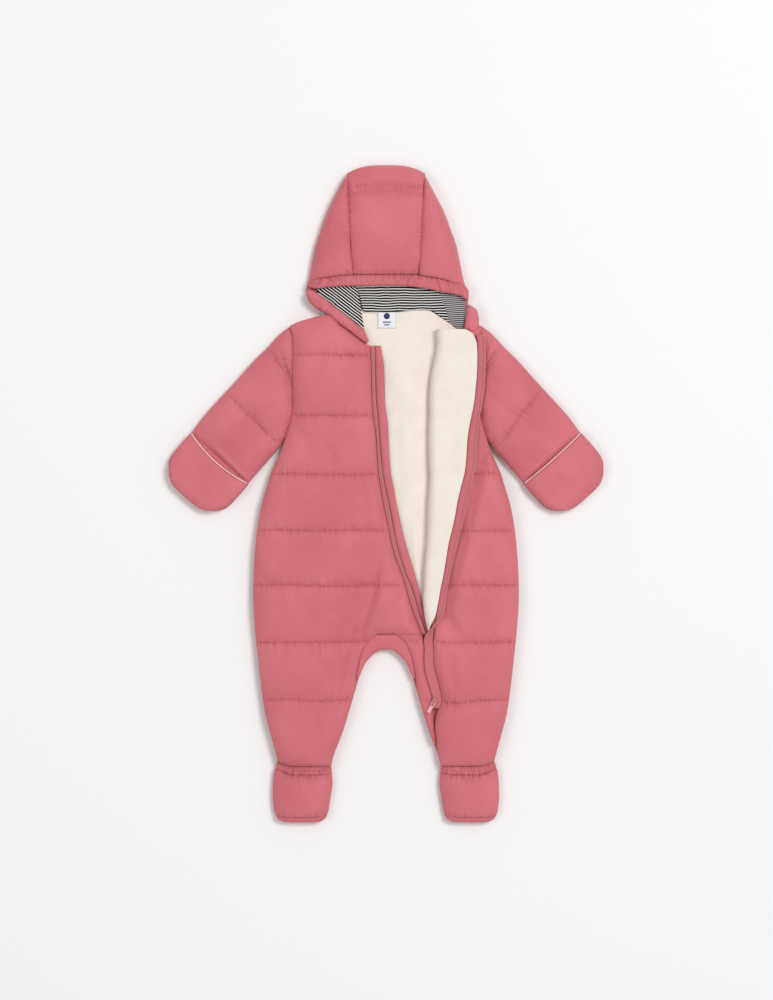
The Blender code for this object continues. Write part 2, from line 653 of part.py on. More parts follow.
def make_hood_centre():
    def placed(y_column, z_column):
        def place(across, section):
            y = section[y_column]
            near_crown = min(max((y - 300) / 60, 0), 1)
            edge_y = y - CROWN_ARCH * near_crown
            x = across * (hood_seam(edge_y) - SEAM_GAP / 2)
            y -= CROWN_ARCH * near_crown * abs(across) ** 3
            z = section[z_column]
            if z_column == 1 and z > 12.5:
                z -= 3 * abs(across) ** 5
            return x, y, z
        return place

    cloth_wall("hood_centre", (-1, -0.86, -0.5, 0, 0.5, 0.86, 1), HOOD_SECTION, placed(0, 1), placed(2, 3))


def make_hood_side(name, side):
    def placed(reach_column, z_column):
        def place(section, share):
            reach = section[reach_column]
            end_x = mix(40, 87, reach)
            for _ in range(3):
                front_end = brow_stitch(side * end_x) + CASING_GAP
                end = mix(front_end, read(HOOD_BACK_END, 1, end_x), section[4])
                end_x = mix(hood_seam(end), read(HOOD_OUTLINE, 1, end), reach)
            y = mix(HOOD_SIDE_TOP, end, share)
            x = mix(hood_seam(y) + SEAM_GAP / 2, read(HOOD_OUTLINE, 1, y), reach)
            return side * x, y, section[z_column]
        return place

    cloth_wall(name, HOOD_SIDE_SECTION, (0, 0.14, 0.3, 0.5, 0.7, 0.87, 1), placed(0, 1), placed(2, 3))


def make_hood_casing():
    brow_x = (-86, -77, -62, -45, -30, -15, 0, 15, 35, 50, 65, 78, 91)

    def brow(z_edge, z_middle):
        def place(x, share):
            z = z_middle if 0 < share < 1 else z_edge
            return x, mix(read(BROW, 1, x), brow_stitch(x), share), z
        return place

    cloth_wall("hood_casing_brow", brow_x, (0, 0.3, 0.7, 1), brow(16.4, CASING_TOP),
               brow(CASING_BOTTOM, CASING_BOTTOM))

    def lip(z_edge, z_middle):
        def place(station, share):
            x, y, free_x, free_y = station
            z = z_middle if 0 < share < 1 else z_edge
            return mix(x, free_x, share), mix(y, free_y, share), z
        return place

    cloth_wall("hood_casing_right", CASING_RIGHT, (0, 0.3, 0.7, 1), lip(16.0, CASING_TOP),
               lip(CASING_BOTTOM, CASING_BOTTOM))

    def end(z_edge, z_middle):
        def place(station, share):
            x, low, high = station
            z = z_middle if 88.4 < x < 101 else z_edge
            return x, mix(low, high, share), z
        return place

    cloth_wall("hood_casing_left", CASING_LEFT, (0, 0.5, 1), end(16.0, CASING_TOP),
               end(CASING_BOTTOM, CASING_BOTTOM))


# Striped lining: name, sides' x at the lower and upper end, lower edge as x and y
LINING_HIDDEN_TOP = 240.0
STRIPED_PIECES = (
    ("hood_lining_right", -74, -78, -25.4, -34.4, ((-74, 209), (-66, 203.4), (-50, 191), (-34, 182),
                                                   (-25, 186))),
    ("hood_lining_centre", -25, -34, 72, 56, ((-25, 206.8), (0, 206.6), (15, 208), (45, 210.4), (52, 209),
                                             (60, 203), (72, 195))),
    ("hood_lining_left", 72.4, 56.4, 85.5, 77, ((72, 195), (78, 190), (88, 185.2))))


def make_hood_lining():
    for name, low_start, high_start, low_end, high_end, lower_edge in STRIPED_PIECES:
        edge = np.array(lower_edge)

        def placed(z):
            def place(across, share):
                low_x = mix(low_start, low_end, across)
                x = mix(low_x, mix(high_start, high_end, across), share)
                top = min(LINING_HIDDEN_TOP, brow_stitch(x) - 3)
                return x, mix(read(edge, 1, low_x), top, share), z
            return place

        count = 8 if name == "hood_lining_centre" else 4
        cloth_wall(name, steps(count), (0, 0.5, 1), placed(STRIPE_TOP), placed(STRIPE_BOTTOM), STRIPE_HEX)


def make_neck_label():
    def placed(z):
        return lambda x, y: (x, y, z)

    cloth_wall("neck_label", (-9, 1, 11), (186, 196, 206), placed(11.0), placed(LINING_TOP + SEAM_GAP),
               LABEL_HEX)


# Sleeves and mitts -------------------------------------------------------------------------

def flat_ring(stations):
    """Ring of stations of a tube pressed flat: across its top, then back across its underside."""
    return [(share, 1) for share in stations] + [(share, -1) for share in reversed(stations[1:-1])] \
        + [(stations[0], 1)]


def tube_swell(share):
    """Rounded height of a pressed tube across its width."""
    return (1 - abs(2 * share - 1) ** 3) ** 0.5


def make_sleeve(name, side):
    def centre_line(share, down):
        upper = Vector((read(SLEEVE, 1, down), read(SLEEVE, 2, down)))
        lower = Vector((read(SLEEVE, 3, down), read(SLEEVE, 4, down)))
        point = lower.lerp(upper, share)
        start = Vector((108, 188)) * share + Vector((113.9, 61)) * (1 - share)
        arm_y = mix(61, 188, share)
        seam = Vector((read(BODY_EDGE, 1, arm_y) + SEAM_GAP, arm_y))
        return point + (seam - start) * max(0, 1 - down / 0.3) ** 2

    def placed(outer):
        def place(station, down):
            share, face = station
            swell = tube_swell(share)
            if outer:
                point = centre_line(share, down)
                top = mix(SLEEVE_SEAM_Z, read(SLEEVE, 5, down), swell)
                z = top if face > 0 else SLEEVE_SEAM_Z * (1 - min(1, 1.35 * swell))
            else:
                point = centre_line(0.5 + (share - 0.5) * 0.88, down)
                z = SLEEVE_SEAM_Z + (1.0 if face > 0 else -0.6) * min(1, 2 * swell)
            return side * point.x, point.y, z
        return place

    cloth_wall(name, flat_ring(SLEEVE_RING), SLEEVE[:, 0], placed(True), placed(False), ring=True)


CUFF_UPPER = Vector((219, 67.5))
CUFF_LOWER = Vector((155, 10.5))
CUFF_MIDDLE = (CUFF_UPPER + CUFF_LOWER) / 2
CUFF_ACROSS = (CUFF_UPPER - CUFF_LOWER).normalized()
CUFF_OUTWARD = Vector((CUFF_ACROSS.y, -CUFF_ACROSS.x))


def mitt_place(side, across, outward):
    point = CUFF_MIDDLE + CUFF_ACROSS * across + CUFF_OUTWARD * outward
    return side * point.x, point.y


def make_mitt(hand, side):
    def outline(p, q, start):
        across = MITT_HALF_WIDTH * p * (1 - MITT_CORNER * q ** 5)
        end = MITT_DEPTH * (1 - MITT_CORNER * p ** 4)
        return across, mix(start, end, q)

    def rim(p, q):
        """Share of full height away from the sewn rim."""
        return dome(min((1 - abs(p)) * MITT_HALF_WIDTH, (1 - q) * MITT_DEPTH), 12)

    def back(z_middle, z_rim):
        def place(p, q):
            across, outward = outline(p, q, MITT_OVERLAP + SEAM_GAP)
            return *mitt_place(side, across, outward), mix(z_rim, z_middle, rim(p, q))
        return place

    stations = (-1, -0.93, -0.72, -0.36, 0, 0.36, 0.72, 0.93, 1)
    cloth_wall(f"mitt_back_{hand}", stations, (0, 0.3, 0.65, 0.9, 1),
               back(MITT_BACK_TOP, MITT_BACK_TOP), back(0, 4.4))

    def cover_edge(p):
        return MITT_COVER_BOW * (1 - p * p)

    def cover(z_middle, z_rim):
        def place(p, q):
            across, outward = outline(p, q, cover_edge(p))
            return *mitt_place(side, across, outward), mix(z_rim, z_middle, rim(p, q))
        return place

    bottom_rim = MITT_BACK_TOP + SEAM_GAP
    cloth_wall(f"mitt_cover_{hand}", stations, (0, 0.14, 0.4, 0.7, 0.91, 1),
               cover(MITT_COVER_BOTTOM + MITT_COVER_RISE, bottom_rim + 3.2),
               cover(MITT_COVER_BOTTOM, bottom_rim))

    piping = bpy.data.curves.new(f"mitt_piping_{hand}", "CURVE")
    piping.dimensions = "3D"
    piping.bevel_depth = PIPING_RADIUS * MM
    piping.bevel_resolution = 2
    piping.use_fill_caps = True
    line = piping.splines.new("POLY")
    line.points.add(12)
    for index, point in enumerate(line.points):
        p = mix(-0.95, 0.95, index / 12)
        x, y = mitt_place(side, MITT_HALF_WIDTH * p, cover_edge(p) - PIPING_RADIUS - 0.5)
        z = mix(13.4, 16.4, dome((1 - abs(p)) * MITT_HALF_WIDTH, 12))
        point.co = (x * MM, y * MM, z * MM, 1)
    piping.materials.append(cloth_material(f"mitt_piping_{hand}", PIPING_HEX, 0.6))
    cord = bpy.data.objects.new(f"mitt_piping_{hand}", piping)
    bpy.data.collections[COLLECTION].objects.link(cord)


# Ankles and booties ------------------------------------------------------------------------

def make_foot(foot, side):
    def tube(name, top, inner_x, outer_x, row_y, rows):
        def placed(outer):
            def place(station, down):
                share, face = station
                if not outer:
                    share = 0.5 + (share - 0.5) * 0.86
                swell = tube_swell(share)
                x = mix(inner_x(down), outer_x(down), share)
                if outer:
                    z = mix(7.5, top, swell) if face > 0 else 7.5 * (1 - min(1, 1.35 * swell))
                else:
                    z = 7.5 + face * 0.9 * min(1, 2 * swell)
                return side * x, row_y(x, down), z
            return place

        cloth_wall(name, flat_ring(LEG_RING), rows, placed(True), placed(False), ring=True)

    def ankle_y(x, down):
        return mix(read(LEG_END_EDGE, 1, x) - ANKLE_GAP, read(ANKLE_LOWER_EDGE, 1, x), down)

    tube(f"ankle_band_{foot}", ANKLE_TOP, lambda down: mix(61.3, 60.8, down),
         lambda down: mix(121.5, 124.4, down), ankle_y, (0, 0.5, 1))

    def bootie_y(x, down):
        return mix(read(ANKLE_LOWER_EDGE, 1, x) - SEAM_GAP, SOLE_SEAM, down)

    def foot_edge(column):
        return lambda down: read(FOOT, column, mix(-313, SOLE_SEAM, down))

    tube(f"bootie_{foot}", BOOTIE_TOP, foot_edge(1), foot_edge(2), bootie_y, (0, 0.12, 0.35, 0.6, 0.82, 1))

    def sole(top):
        def place(share, down):
            inner, outer = mix(69, 76, down ** 2), mix(120.5, 113, down ** 2)
            swell = tube_swell(mix(0.08, 0.92, share)) * mix(1, 0.75, down)
            z = mix(7.5, BOOTIE_TOP, swell) if top else 7.5 * (1 - min(1, 1.5 * swell))
            return side * mix(inner, outer, share), mix(SOLE_SEAM - SEAM_GAP, SOLE_END, down), z
        return place

    cloth_wall(f"bootie_sole_{foot}", steps(6), (0, 0.5, 1), sole(True), sole(False))


def make_snowsuit():
    make_back()
    make_front_right()
    make_front_left()
    make_front_left_lining()
    make_back_lining()
    make_zip()
    make_crotch_gusset()
    make_hood_centre()
    make_hood_casing()
    make_hood_lining()
    make_neck_label()
    for hand, side in (("right", -1), ("left", 1)):
        make_hood_side(f"hood_side_{hand}", side)
        make_sleeve(f"sleeve_{hand}", side)
        make_mitt(hand, side)
        make_foot(hand, side)


for old in list(bpy.data.objects):
    bpy.data.objects.remove(old)
for collection_name in (COLLECTION, CUTTERS):
    collection = bpy.data.collections.new(collection_name)
    bpy.context.scene.collection.children.link(collection)
make_snowsuit()
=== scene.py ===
"""Looks of the baby snowsuit: its padded shell, linings, zip and trims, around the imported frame.

Right and left are the wearer's.  Sizes are in millimetres and become metres when a mesh is made.
"""
import math

import bmesh
import bpy
import numpy as np
from mathutils import Matrix, Vector


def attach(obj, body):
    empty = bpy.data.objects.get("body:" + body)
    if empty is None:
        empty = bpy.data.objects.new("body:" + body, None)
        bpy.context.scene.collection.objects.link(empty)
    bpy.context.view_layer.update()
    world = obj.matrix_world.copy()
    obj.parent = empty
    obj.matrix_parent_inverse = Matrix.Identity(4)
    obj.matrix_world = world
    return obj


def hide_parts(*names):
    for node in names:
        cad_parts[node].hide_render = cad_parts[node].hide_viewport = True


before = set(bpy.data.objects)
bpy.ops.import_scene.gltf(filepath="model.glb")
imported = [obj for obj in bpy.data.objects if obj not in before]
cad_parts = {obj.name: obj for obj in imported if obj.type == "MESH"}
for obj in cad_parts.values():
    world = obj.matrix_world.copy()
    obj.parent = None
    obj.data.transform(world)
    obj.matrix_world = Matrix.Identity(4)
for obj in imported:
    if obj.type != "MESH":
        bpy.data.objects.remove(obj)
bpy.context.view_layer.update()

MM = 0.001
SEAM_GAP = 0.4
# How far sewn pieces run into each other, so that no gap shows in their seam
SEAM_LAP = 0.5
SIDES = (("right", -1), ("left", 1))

# Heights of the layers above the surface
BACK_TOP = 8.0
BACK_EDGE_LIFT = 3.6
FLEECE = 1.4
LINING_BOTTOM = BACK_TOP + SEAM_GAP
LINING_TOP = LINING_BOTTOM + FLEECE
FRONT_BOTTOM = 10.6
FRONT_EDGE_BOTTOM = BACK_TOP + SEAM_GAP
FRONT_EDGE_TOP = 13.5
FRONT_RISE = 9.5
PADDING_EXTRA = 1.5
FRONT_REACH = 32.0

# Left front, turned back on itself
FOLD_BOTTOM = 12.2
FOLD_TOP = 25.5
FOLD_SLIT = 0.6
FOLD_HALF_WALL = (FOLD_TOP - FOLD_BOTTOM - FOLD_SLIT) / 4
FOLD_MID_RADIUS = (FOLD_TOP - FOLD_BOTTOM) / 2 - FOLD_HALF_WALL
FOLD_CENTRE_Z = (FOLD_TOP + FOLD_BOTTOM) / 2
FOLD_SETBACK = FOLD_MID_RADIUS + FOLD_HALF_WALL + SEAM_GAP + FLEECE
STRIP_GAP = -0.3
TAPE_GAP = 0.5
TAPE_OPENING_GAP = 2.8
TAPE_CLOSED_Z = 15.4
FOLD_OPENS = -134
FOLD_OPEN = -174

# Hood
STRIPE_BOTTOM = 10.2
STRIPE_TOP = 11.6
CASING_BOTTOM = 12.2
CASING_TOP = 18.5
CASING_GAP = -0.15
CROWN_ARCH = 9.5
CROWN_QUILT_Y = 342.5

# Sleeves and mitts
SLEEVE_SEAM_Z = 8.2
MITT_HALF_WIDTH = 43.5
MITT_DEPTH = 57.4
MITT_CORNER = 0.2
MITT_COVER_BOW = {"right": 6.0, "left": 1.6}
MITT_OVERLAP = 12.0
MITT_BACK_TOP = 8.4
MITT_COVER_BOTTOM = 11.6
MITT_COVER_RISE = 5.4
PIPING_RADIUS = 0.55
# From the middle of the piping back to the edge of the cover
PIPING_SETBACK = 1.2

# Feet
ANKLE_TOP = 14.0
BOOTIE_TOP = 17.0
FOOT_SEAM_Z = 7.5
SOLE_SEAM = -362.0
SOLE_END = -367.8

# Half width of the body by height: y, x.  The first eight rows are the armhole.
BODY_EDGE = np.array((
    (188, 108), (172, 104.8), (155, 105), (142, 105.5), (101, 105), (88, 106), (75, 109.5), (61, 113.5),
    (45, 119), (35, 123.5), (22, 129), (9, 133), (-9, 138.5), (-28, 142.5), (-54, 146), (-90, 148.5),
    (-115, 149), (-149, 147), (-184, 143.5), (-219, 139.5), (-246, 135.5), (-280, 127.5), (-304.5, 121.5)))
QUILT_Y = (155, 88, 22, -41, -102.5, -166, -232)
NECK_START = 150.0
LEG_END_START = -246.0
LEG_END = -304.5
# Where the two legs part, and where the columns above start to lean towards the fork
FRONT_FORK = -157
FRONT_PARTED = -156.4
FRONT_LEAN = -41
BACK_PARTED = -173.6
BACK_LEAN = -65
# Rows that every body panel keeps, from the shoulder to the foot of the armhole
SHOULDER_ROWS = (188, 172, 155, 61)

# Inner edge of each leg on the back panel: y, x
FORK_BACK = np.array((
    (-174, 7), (-180, 14.5), (-189, 22.5), (-207, 30.5), (-219, 34), (-246, 42), (-262, 46.8),
    (-280, 53.5), (-293, 58.5), (-304.5, 61.3)))
# The same edge on the fronts, where the gusset is let in
FORK_FRONT = np.array((
    (-157, 9.5), (-166, 20.5), (-174, 25), (-184, 28.9), (-195, 31.4), (-206, 33.4), (-219, 34.6),
    (-232, 37.8), (-246, 42), (-262, 46.8), (-280, 53.5), (-293, 58.5), (-304.5, 61.3)))
# Gusset from the middle of the fork to one side: x and y on the leg edge, x and y on its seam
GUSSET = ((0, -174, 0, -157.6), (7, -174.8, 9, -158), (14.5, -180, 20, -166.2), (19, -184.5, 24.4, -174),
          (22.5, -189, 28.2, -184), (27, -198, 30.7, -195), (30.2, -206, 32.7, -206.2))

# Shoulder and neck edges: x, y
BACK_TOP_EDGE = np.array(((-108, 188), (-87, 196), (-66, 201), (-45, 207.2), (45, 207.2), (66, 201),
                          (87, 196), (108, 188)))
FRONT_RIGHT_TOP_EDGE = np.array(((-108, 188), (-100, 192), (-87, 196), (-66, 200.6), (-50, 187.6),
                                 (-40, 180.6), (-30, 172.6), (-22, 167.6), (-17, 166)))
# Lower end of each leg, from the inner edge out: x, y
LEG_END_EDGE = np.array(((61, -304.5), (105, -304.5), (115, -302), (122, -298.5)))
ANKLE_LOWER_EDGE = np.array(((61, -313), (75, -315.5), (105, -315.5), (122, -309)))

# Right zip edge: y, panel edge, outer edge of the tape, outer edge of the wind guard
ZIP_RIGHT = np.array((
    (166, -17.5, -13, -6), (155, -17, -12.5, -4), (142, -16.6, -12.5, -2), (121, -16.2, -12, -1.4),
    (101, -15.4, -11, -1), (88, -14.4, -9.8, 1), (75, -12.4, -8.6, 2.4), (61, -10.9, -7.6, 3),
    (35, -9.3, -5.4, 4.4), (22, -8.2, -3.8, 5.8), (9, -6.2, -1.6, 8.4), (-9, -3.2, 2.2, 11.4),
    (-28, 0.8, 6, 15.6), (-41, 3.4, 8.2, 18.4), (-54, 6, 10.8, 21.8), (-72, 10.8, 15.8, 27),
    (-90, 17.8, 21.8, 32.5), (-102.5, 21.8, 27, 36), (-115, 25.2, 31.4, 38.8), (-134, 31.4, 36.6, 43.4),
    (-149, 37.4, 42, 46.6), (-157, 40.8, 44.6, 48)))
# Strip of the right front beside the zip on the left leg: y, x
ZIP_STRIP = np.array(((-157, 40.8), (-166, 43), (-174, 43.5), (-184, 43), (-195, 43.6), (-206, 46),
                      (-219, 50), (-232, 53), (-246, 53), (-262, 53.8), (-280, 56)))
STRIP_END = -280
ZIP_TOP_RIGHT = 166
ZIP_TOP_LEFT = 178
# Left front: y, fold line, free edge, width of zip tape, turn of the fold in degrees
FOLD = np.array((
    (188, 57, 97, 9, 180), (172, 58, 101.5, 9.5, 180), (155, 55.5, 102, 9, 180), (142, 53.5, 101.8, 9, 180),
    (121, 50.6, 100.4, 9.5, 180), (101, 50, 98.2, 9, 180), (88, 49.6, 95.6, 9.2, 180),
    (75, 49.2, 93, 10.4, 180), (61, 49, 91, 11, 180), (35, 49.6, 89.2, 11.4, 180), (22, 50, 87.4, 10.6, 180),
    (9, 49.6, 84, 10.8, 180), (-9, 48.6, 79.8, 10.6, 180), (-28, 47.8, 76.4, 9.8, 180),
    (-41, 46.6, 73.4, 9.4, 180), (-54, 45.8, 70.2, 9.6, 180), (-72, 44.4, 67.2, 8.4, 180),
    (-90, 43.2, 64.2, 7, 180), (-102.5, 42.4, 61.6, 7, 180), (-115, 42.4, 59.4, 7.4, 180),
    (-134, 44, 57, 7.8, 170), (-149, 46.6, 56, 8.4, 120), (-157, 48.2, 54.6, 8.6, 75),
    (-166, 50, 53, 8.6, 25), (-174, 51.8, 52.6, 8.3, 0)))
# Left front down the leg: y, edge at the zip or the inner leg
LEG_ZIP_EDGE = np.array(((-174, 52.6), (-184, 52.6), (-195, 53.8), (-206, 56.6), (-219, 60), (-232, 62),
                         (-246, 56.4), (-262, 54.6), (-280, 56.8), (-293, 58.5), (-304.5, 61.3)))
ZIP_CLOSED_END = -240
LINING_FOLD_END = -160

# Back lining: y, its two edges
BACK_LINING = np.array(((206, -40, 50), (188, -40, 97), (172, -34, 72), (150, -28, 70), (100, -26, 64),
                        (50, -22, 63), (0, -17, 63), (-41, -8, 60), (-72, 0, 58), (-102, 10, 56),
                        (-134, 20, 58), (-158, 30, 60)))

# Hood outline: y, half width
HOOD_OUTLINE = np.array(((361, 42), (355, 46.5), (342, 53.5), (333, 58.3), (315, 66.8), (297, 73), (279, 79),
                         (261, 82.8), (243, 86), (225, 90), (216, 88.5), (207, 77)))
HOOD_SIDE_TOP = 355.0
# On the left the hood's back reaches down to the collar
HOOD_OUTLINE_LEFT = np.array(((361, 41), (355, 45), (342, 52), (333, 57), (315, 66), (297, 72.5), (279, 79),
                              (261, 82.8), (243, 86.5), (225, 91), (216, 92.2), (207, 91.6), (196, 89)))
HOOD_BACK_END_LEFT = np.array(((0, 207.8), (45, 207.8), (66, 203), (74, 201), (81, 199.4), (92, 197.6)))
# Lower edge of the hood's back: half width, y
HOOD_BACK_END = np.array(((0, 207.8), (45, 207.8), (66, 203), (74, 207), (81, 212.5), (89, 221)))
HOOD_EDGES = {-1: (HOOD_OUTLINE, HOOD_BACK_END), 1: (HOOD_OUTLINE_LEFT, HOOD_BACK_END_LEFT)}
# Face opening: x, free edge of the casing, its stitch line
BROW = np.array(((-86, 231, 238), (-77, 230, 240.6), (-62, 232, 243), (-45, 233, 245), (-15, 233.2, 245.2),
                 (15, 233.2, 245.2), (35, 231.4, 245), (50, 229, 243), (65, 225.6, 240), (78, 223.4, 235.8),
                 (86, 220.5, 234), (92.5, 214, 231)))
# Casing below the face on the right: neck seam x and y, free edge x and y
CASING_RIGHT = ((-89.5, 223.5, -85, 229.5), (-87, 216.5, -78.5, 226), (-80, 209.2, -69, 219),
                (-66, 201.2, -58, 210.4), (-50, 188.4, -43, 199), (-40, 181.4, -32.5, 190),
                (-30, 173.4, -25.5, 184.6), (-22, 168.2, -19, 171.4))
# Collar end of the casing, from its top down: the x and y of its inner and of its outer edge
COLLAR_END = np.array(((0, 91.6, 211.4, 94, 211.8), (0.3, 90.4, 204, 102.2, 205),
                       (0.65, 88.8, 194, 104.2, 193), (1, 87.4, 185.6, 102, 181)))
# Section of the hood's centre, brow to crown to neck: outer y and z, inner y and z
HOOD_SECTION = (
    (245.6, 16.5, 245.6, 12.0), (251, 19.5, 251, 11.4), (268, 22.3, 268, 11.4), (292, 23, 292, 11.4),
    (316, 22.4, 316, 11.4), (334, 20.6, 334, 11.4), (342.5, 17.4, 341, 11.4), (351, 19, 349, 11.4),
    (362, 16.4, 356.5, 11), (367.6, 12.4, 361, 10.2), (369, 8.6, 362, 9.7), (367.6, 4, 361, 9.2),
    (362, 0.8, 356.5, 8.4), (352, 0, 350, 8), (322, 0, 322, 8), (285, 0, 285, 8), (245.6, 0, 245.6, 8),
    (225, 0, 225, 8), (207.8, 0, 207.8, 8))
# Section of a hood side, seam to edge to seam: outer reach and z, inner reach and z, share of the back
HOOD_SIDE_SECTION = (
    (0, 20.4, 0, 11.4, 0), (0.12, 21.8, 0.12, 11.4, 0), (0.35, 22.6, 0.33, 11.4, 0),
    (0.62, 21.6, 0.56, 11.4, 0), (0.84, 17.8, 0.76, 11.4, 0), (0.97, 11.9, 0.86, 10.6, 0.06),
    (1, 8.4, 0.88, 9.7, 0.5), (0.95, 2.6, 0.85, 8.8, 0.85), (0.84, 0, 0.76, 8, 1), (0.4, 0, 0.4, 8, 1),
    (0, 0, 0, 8, 1))

# Sleeve: share of the way down, upper edge x and y, lower edge x and y, height
SLEEVE = np.array((
    (0, 108, 188, 113.9, 61, 15), (0.08, 118, 180.6, 119, 54, 19.5), (0.2, 132, 165.4, 124.5, 46, 21),
    (0.33, 149, 148.6, 129.5, 40.5, 21), (0.46, 165.5, 130, 134.5, 34.6, 20.5),
    (0.58, 179.6, 114.6, 140, 28.4, 20), (0.7, 193.4, 99.8, 145.4, 22.2, 19),
    (0.81, 207, 84, 150.4, 16.4, 16.5),
    (0.91, 219, 67.5, 155, 10.5, 12), (1, 227, 58.6, 163, 1.6, 10.4)))

# Foot outline: y, inner x, outer x
FOOT = np.array(((-313, 60.6, 125), (-324, 59.8, 126.6), (-342, 62.2, 127.2), (-355, 64.4, 125.6),
                 (-363, 66.8, 123.2)))

# Striped lining: how far up it runs under the brow, and how far down behind the fleece
LINING_HIDDEN_TOP = 240.0
LINING_TUCK = 3.6
# Name, x at the lower and upper end of its first side, then of its other side, lower edge as x and y
STRIPED_PIECES = (
    ("hood_lining_right", -74, -78, -24, -33,
     ((-74, 209), (-66, 203.4), (-50, 191), (-34, 182), (-25, 186))),
    ("hood_lining_centre", -25, -34, 72, 56,
     ((-25, 206.8), (0, 206.6), (15, 208), (45, 210.4), (52, 209), (60, 203), (72, 195))),
    ("hood_lining_left", 71.6, 55.6, 87.6, 90, ((72, 195), (78, 190), (88, 186.2))))

GUSSET_SEAM = [(-row[2], row[3]) for row in reversed(GUSSET)] + [(row[2], row[3]) for row in GUSSET[1:]]
# Long soft folds of the right front: its line, its height and its half width
FRONT_FOLDS = (
    (((8, -40), (-3, -60), (-15, -110), (-28, -150), (-38, -180), (-45, -215), (-50, -240), (-60, -290)),
     -3.4, 6),
    (((0, -60), (-3, -110), (-14, -150), (-26, -185)), 2.0, 8),
    (((24, -100), (14, -125), (8, -150)), -2.2, 5),
    (((34, -120), (26, -140), (20, -160)), 1.6, 6),
    (((-70, 60), (-60, 40), (-62, 24)), -1.4, 6),
    (((-30, 20), (-24, -8), (-28, -38)), -1.3, 7),
    (((-100, -110), (-84, -135), (-80, -160)), -1.5, 7),
    (((-110, 80), (-92, 62), (-84, 40)), -1.6, 6))
LEFT_FOLDS = (
    (((112, 90), (107, 56), (97, 7), (83, -42), (72, -84), (62, -126), (52, -160)), -7.5, 9),
    (((118, 60), (108, 44), (104, 26)), -1.8, 6),
    (((110, -50), (104, -75), (106, -98)), -1.4, 7),
    (((70, -170), (72, -200), (80, -228)), -1.8, 6))


# Reading the tables ------------------------------------------------------------------------

def read(table, column, at):
    """Values in a table's column where its first column is at, on a smooth curve that never
    overshoots its rows."""
    table = np.asarray(table, float)
    order = np.argsort(table[:, 0])
    keys, values = table[order, 0], table[order, column]
    gaps = np.diff(keys)
    rises = np.diff(values) / gaps
    slopes = np.zeros(len(keys))
    if len(keys) > 2:
        before, after = rises[:-1], rises[1:]
        both = np.where(before * after > 0, before + after, 1)
        slopes[1:-1] = np.where(before * after > 0, 2 * before * after / both, 0)
    slopes[0], slopes[-1] = rises[0], rises[-1]
    at = np.clip(at, keys[0], keys[-1])
    cell = np.clip(np.searchsorted(keys, at) - 1, 0, len(gaps) - 1)
    gap = gaps[cell]
    share = (at - keys[cell]) / gap
    rest = 1 - share
    return (values[cell] * rest * rest * (1 + 2 * share) + values[cell + 1] * share * share * (3 - 2 * share)
            + gap * share * rest * (slopes[cell] * rest - slopes[cell + 1] * share))


def dome(distance, reach):
    """Rounded rise from 0 at an edge to 1 at the given reach from it."""
    share = np.clip(distance / reach, 0, 1)
    return np.sqrt(1 - (1 - share) ** 2)


def smooth_step(value, low, high):
    """Smooth rise from 0 at low to 1 at high."""
    share = np.clip((value - low) / (high - low), 0, 1)
    return share * share * (3 - 2 * share)


def mix(start, end, share):
    """Value at a share of the way from start to end."""
    return start + (end - start) * share


def refine(stops, step):
    """Stations that include every stop, and lie no more than a step apart."""
    stations = [stops[0]]
    for first, last in zip(stops, stops[1:]):
        count = max(1, math.ceil(abs(last - first) / step))
        stations += [first + (last - first) * index / count for index in range(1, count + 1)]
    return np.array(stations)


def noise(x, y, seed):
    """Smooth noise from -1 to 1 with a grain of about one unit."""
    x, y = np.broadcast_arrays(np.asarray(x, float), np.asarray(y, float))
    cell_x, cell_y = np.floor(x), np.floor(y)
    share_x, share_y = x - cell_x, y - cell_y
    share_x = share_x * share_x * (3 - 2 * share_x)
    share_y = share_y * share_y * (3 - 2 * share_y)

    def corner(i, j):
        value = np.sin((cell_x + i) * 127.1 + (cell_y + j) * 311.7 + seed * 74.7) * 43758.5453
        return (value - np.floor(value)) * 2 - 1

    near = mix(corner(0, 0), corner(1, 0), share_x)
    far = mix(corner(0, 1), corner(1, 1), share_x)
    return mix(near, far, share_y)


def polyline_distance(x, y, points):
    """Distance to a line of points, how far along it that is, and the side it is on."""
    best = np.full(np.shape(x), 1e9)
    along = np.zeros(np.shape(x))
    side = np.zeros(np.shape(x))
    run = 0.0
    for (x0, y0), (x1, y1) in zip(points, points[1:]):
        length = math.hypot(x1 - x0, y1 - y0)
        share = np.clip(((x - x0) * (x1 - x0) + (y - y0) * (y1 - y0)) / length ** 2, 0, 1)
        off_x, off_y = x - mix(x0, x1, share), y - mix(y0, y1, share)
        distance = np.hypot(off_x, off_y)
        nearer = distance < best
        best = np.where(nearer, distance, best)
        along = np.where(nearer, run + share * length, along)
        side = np.where(nearer, np.sign((x1 - x0) * off_y - (y1 - y0) * off_x), side)
        run += length
    return best, along, side


# Puffs, puckers and creases ----------------------------------------------------------------

QUILT_DEPTH = 4.8
QUILT_REACH = 20.0
STITCH_GROOVE = 0.5
# How far the puckers run from a stitched line, how high they are and how far apart
PUCKER_REACH = 8.5
PUCKER_HEIGHT = 1.9
PUCKER_GRAIN = 4.6


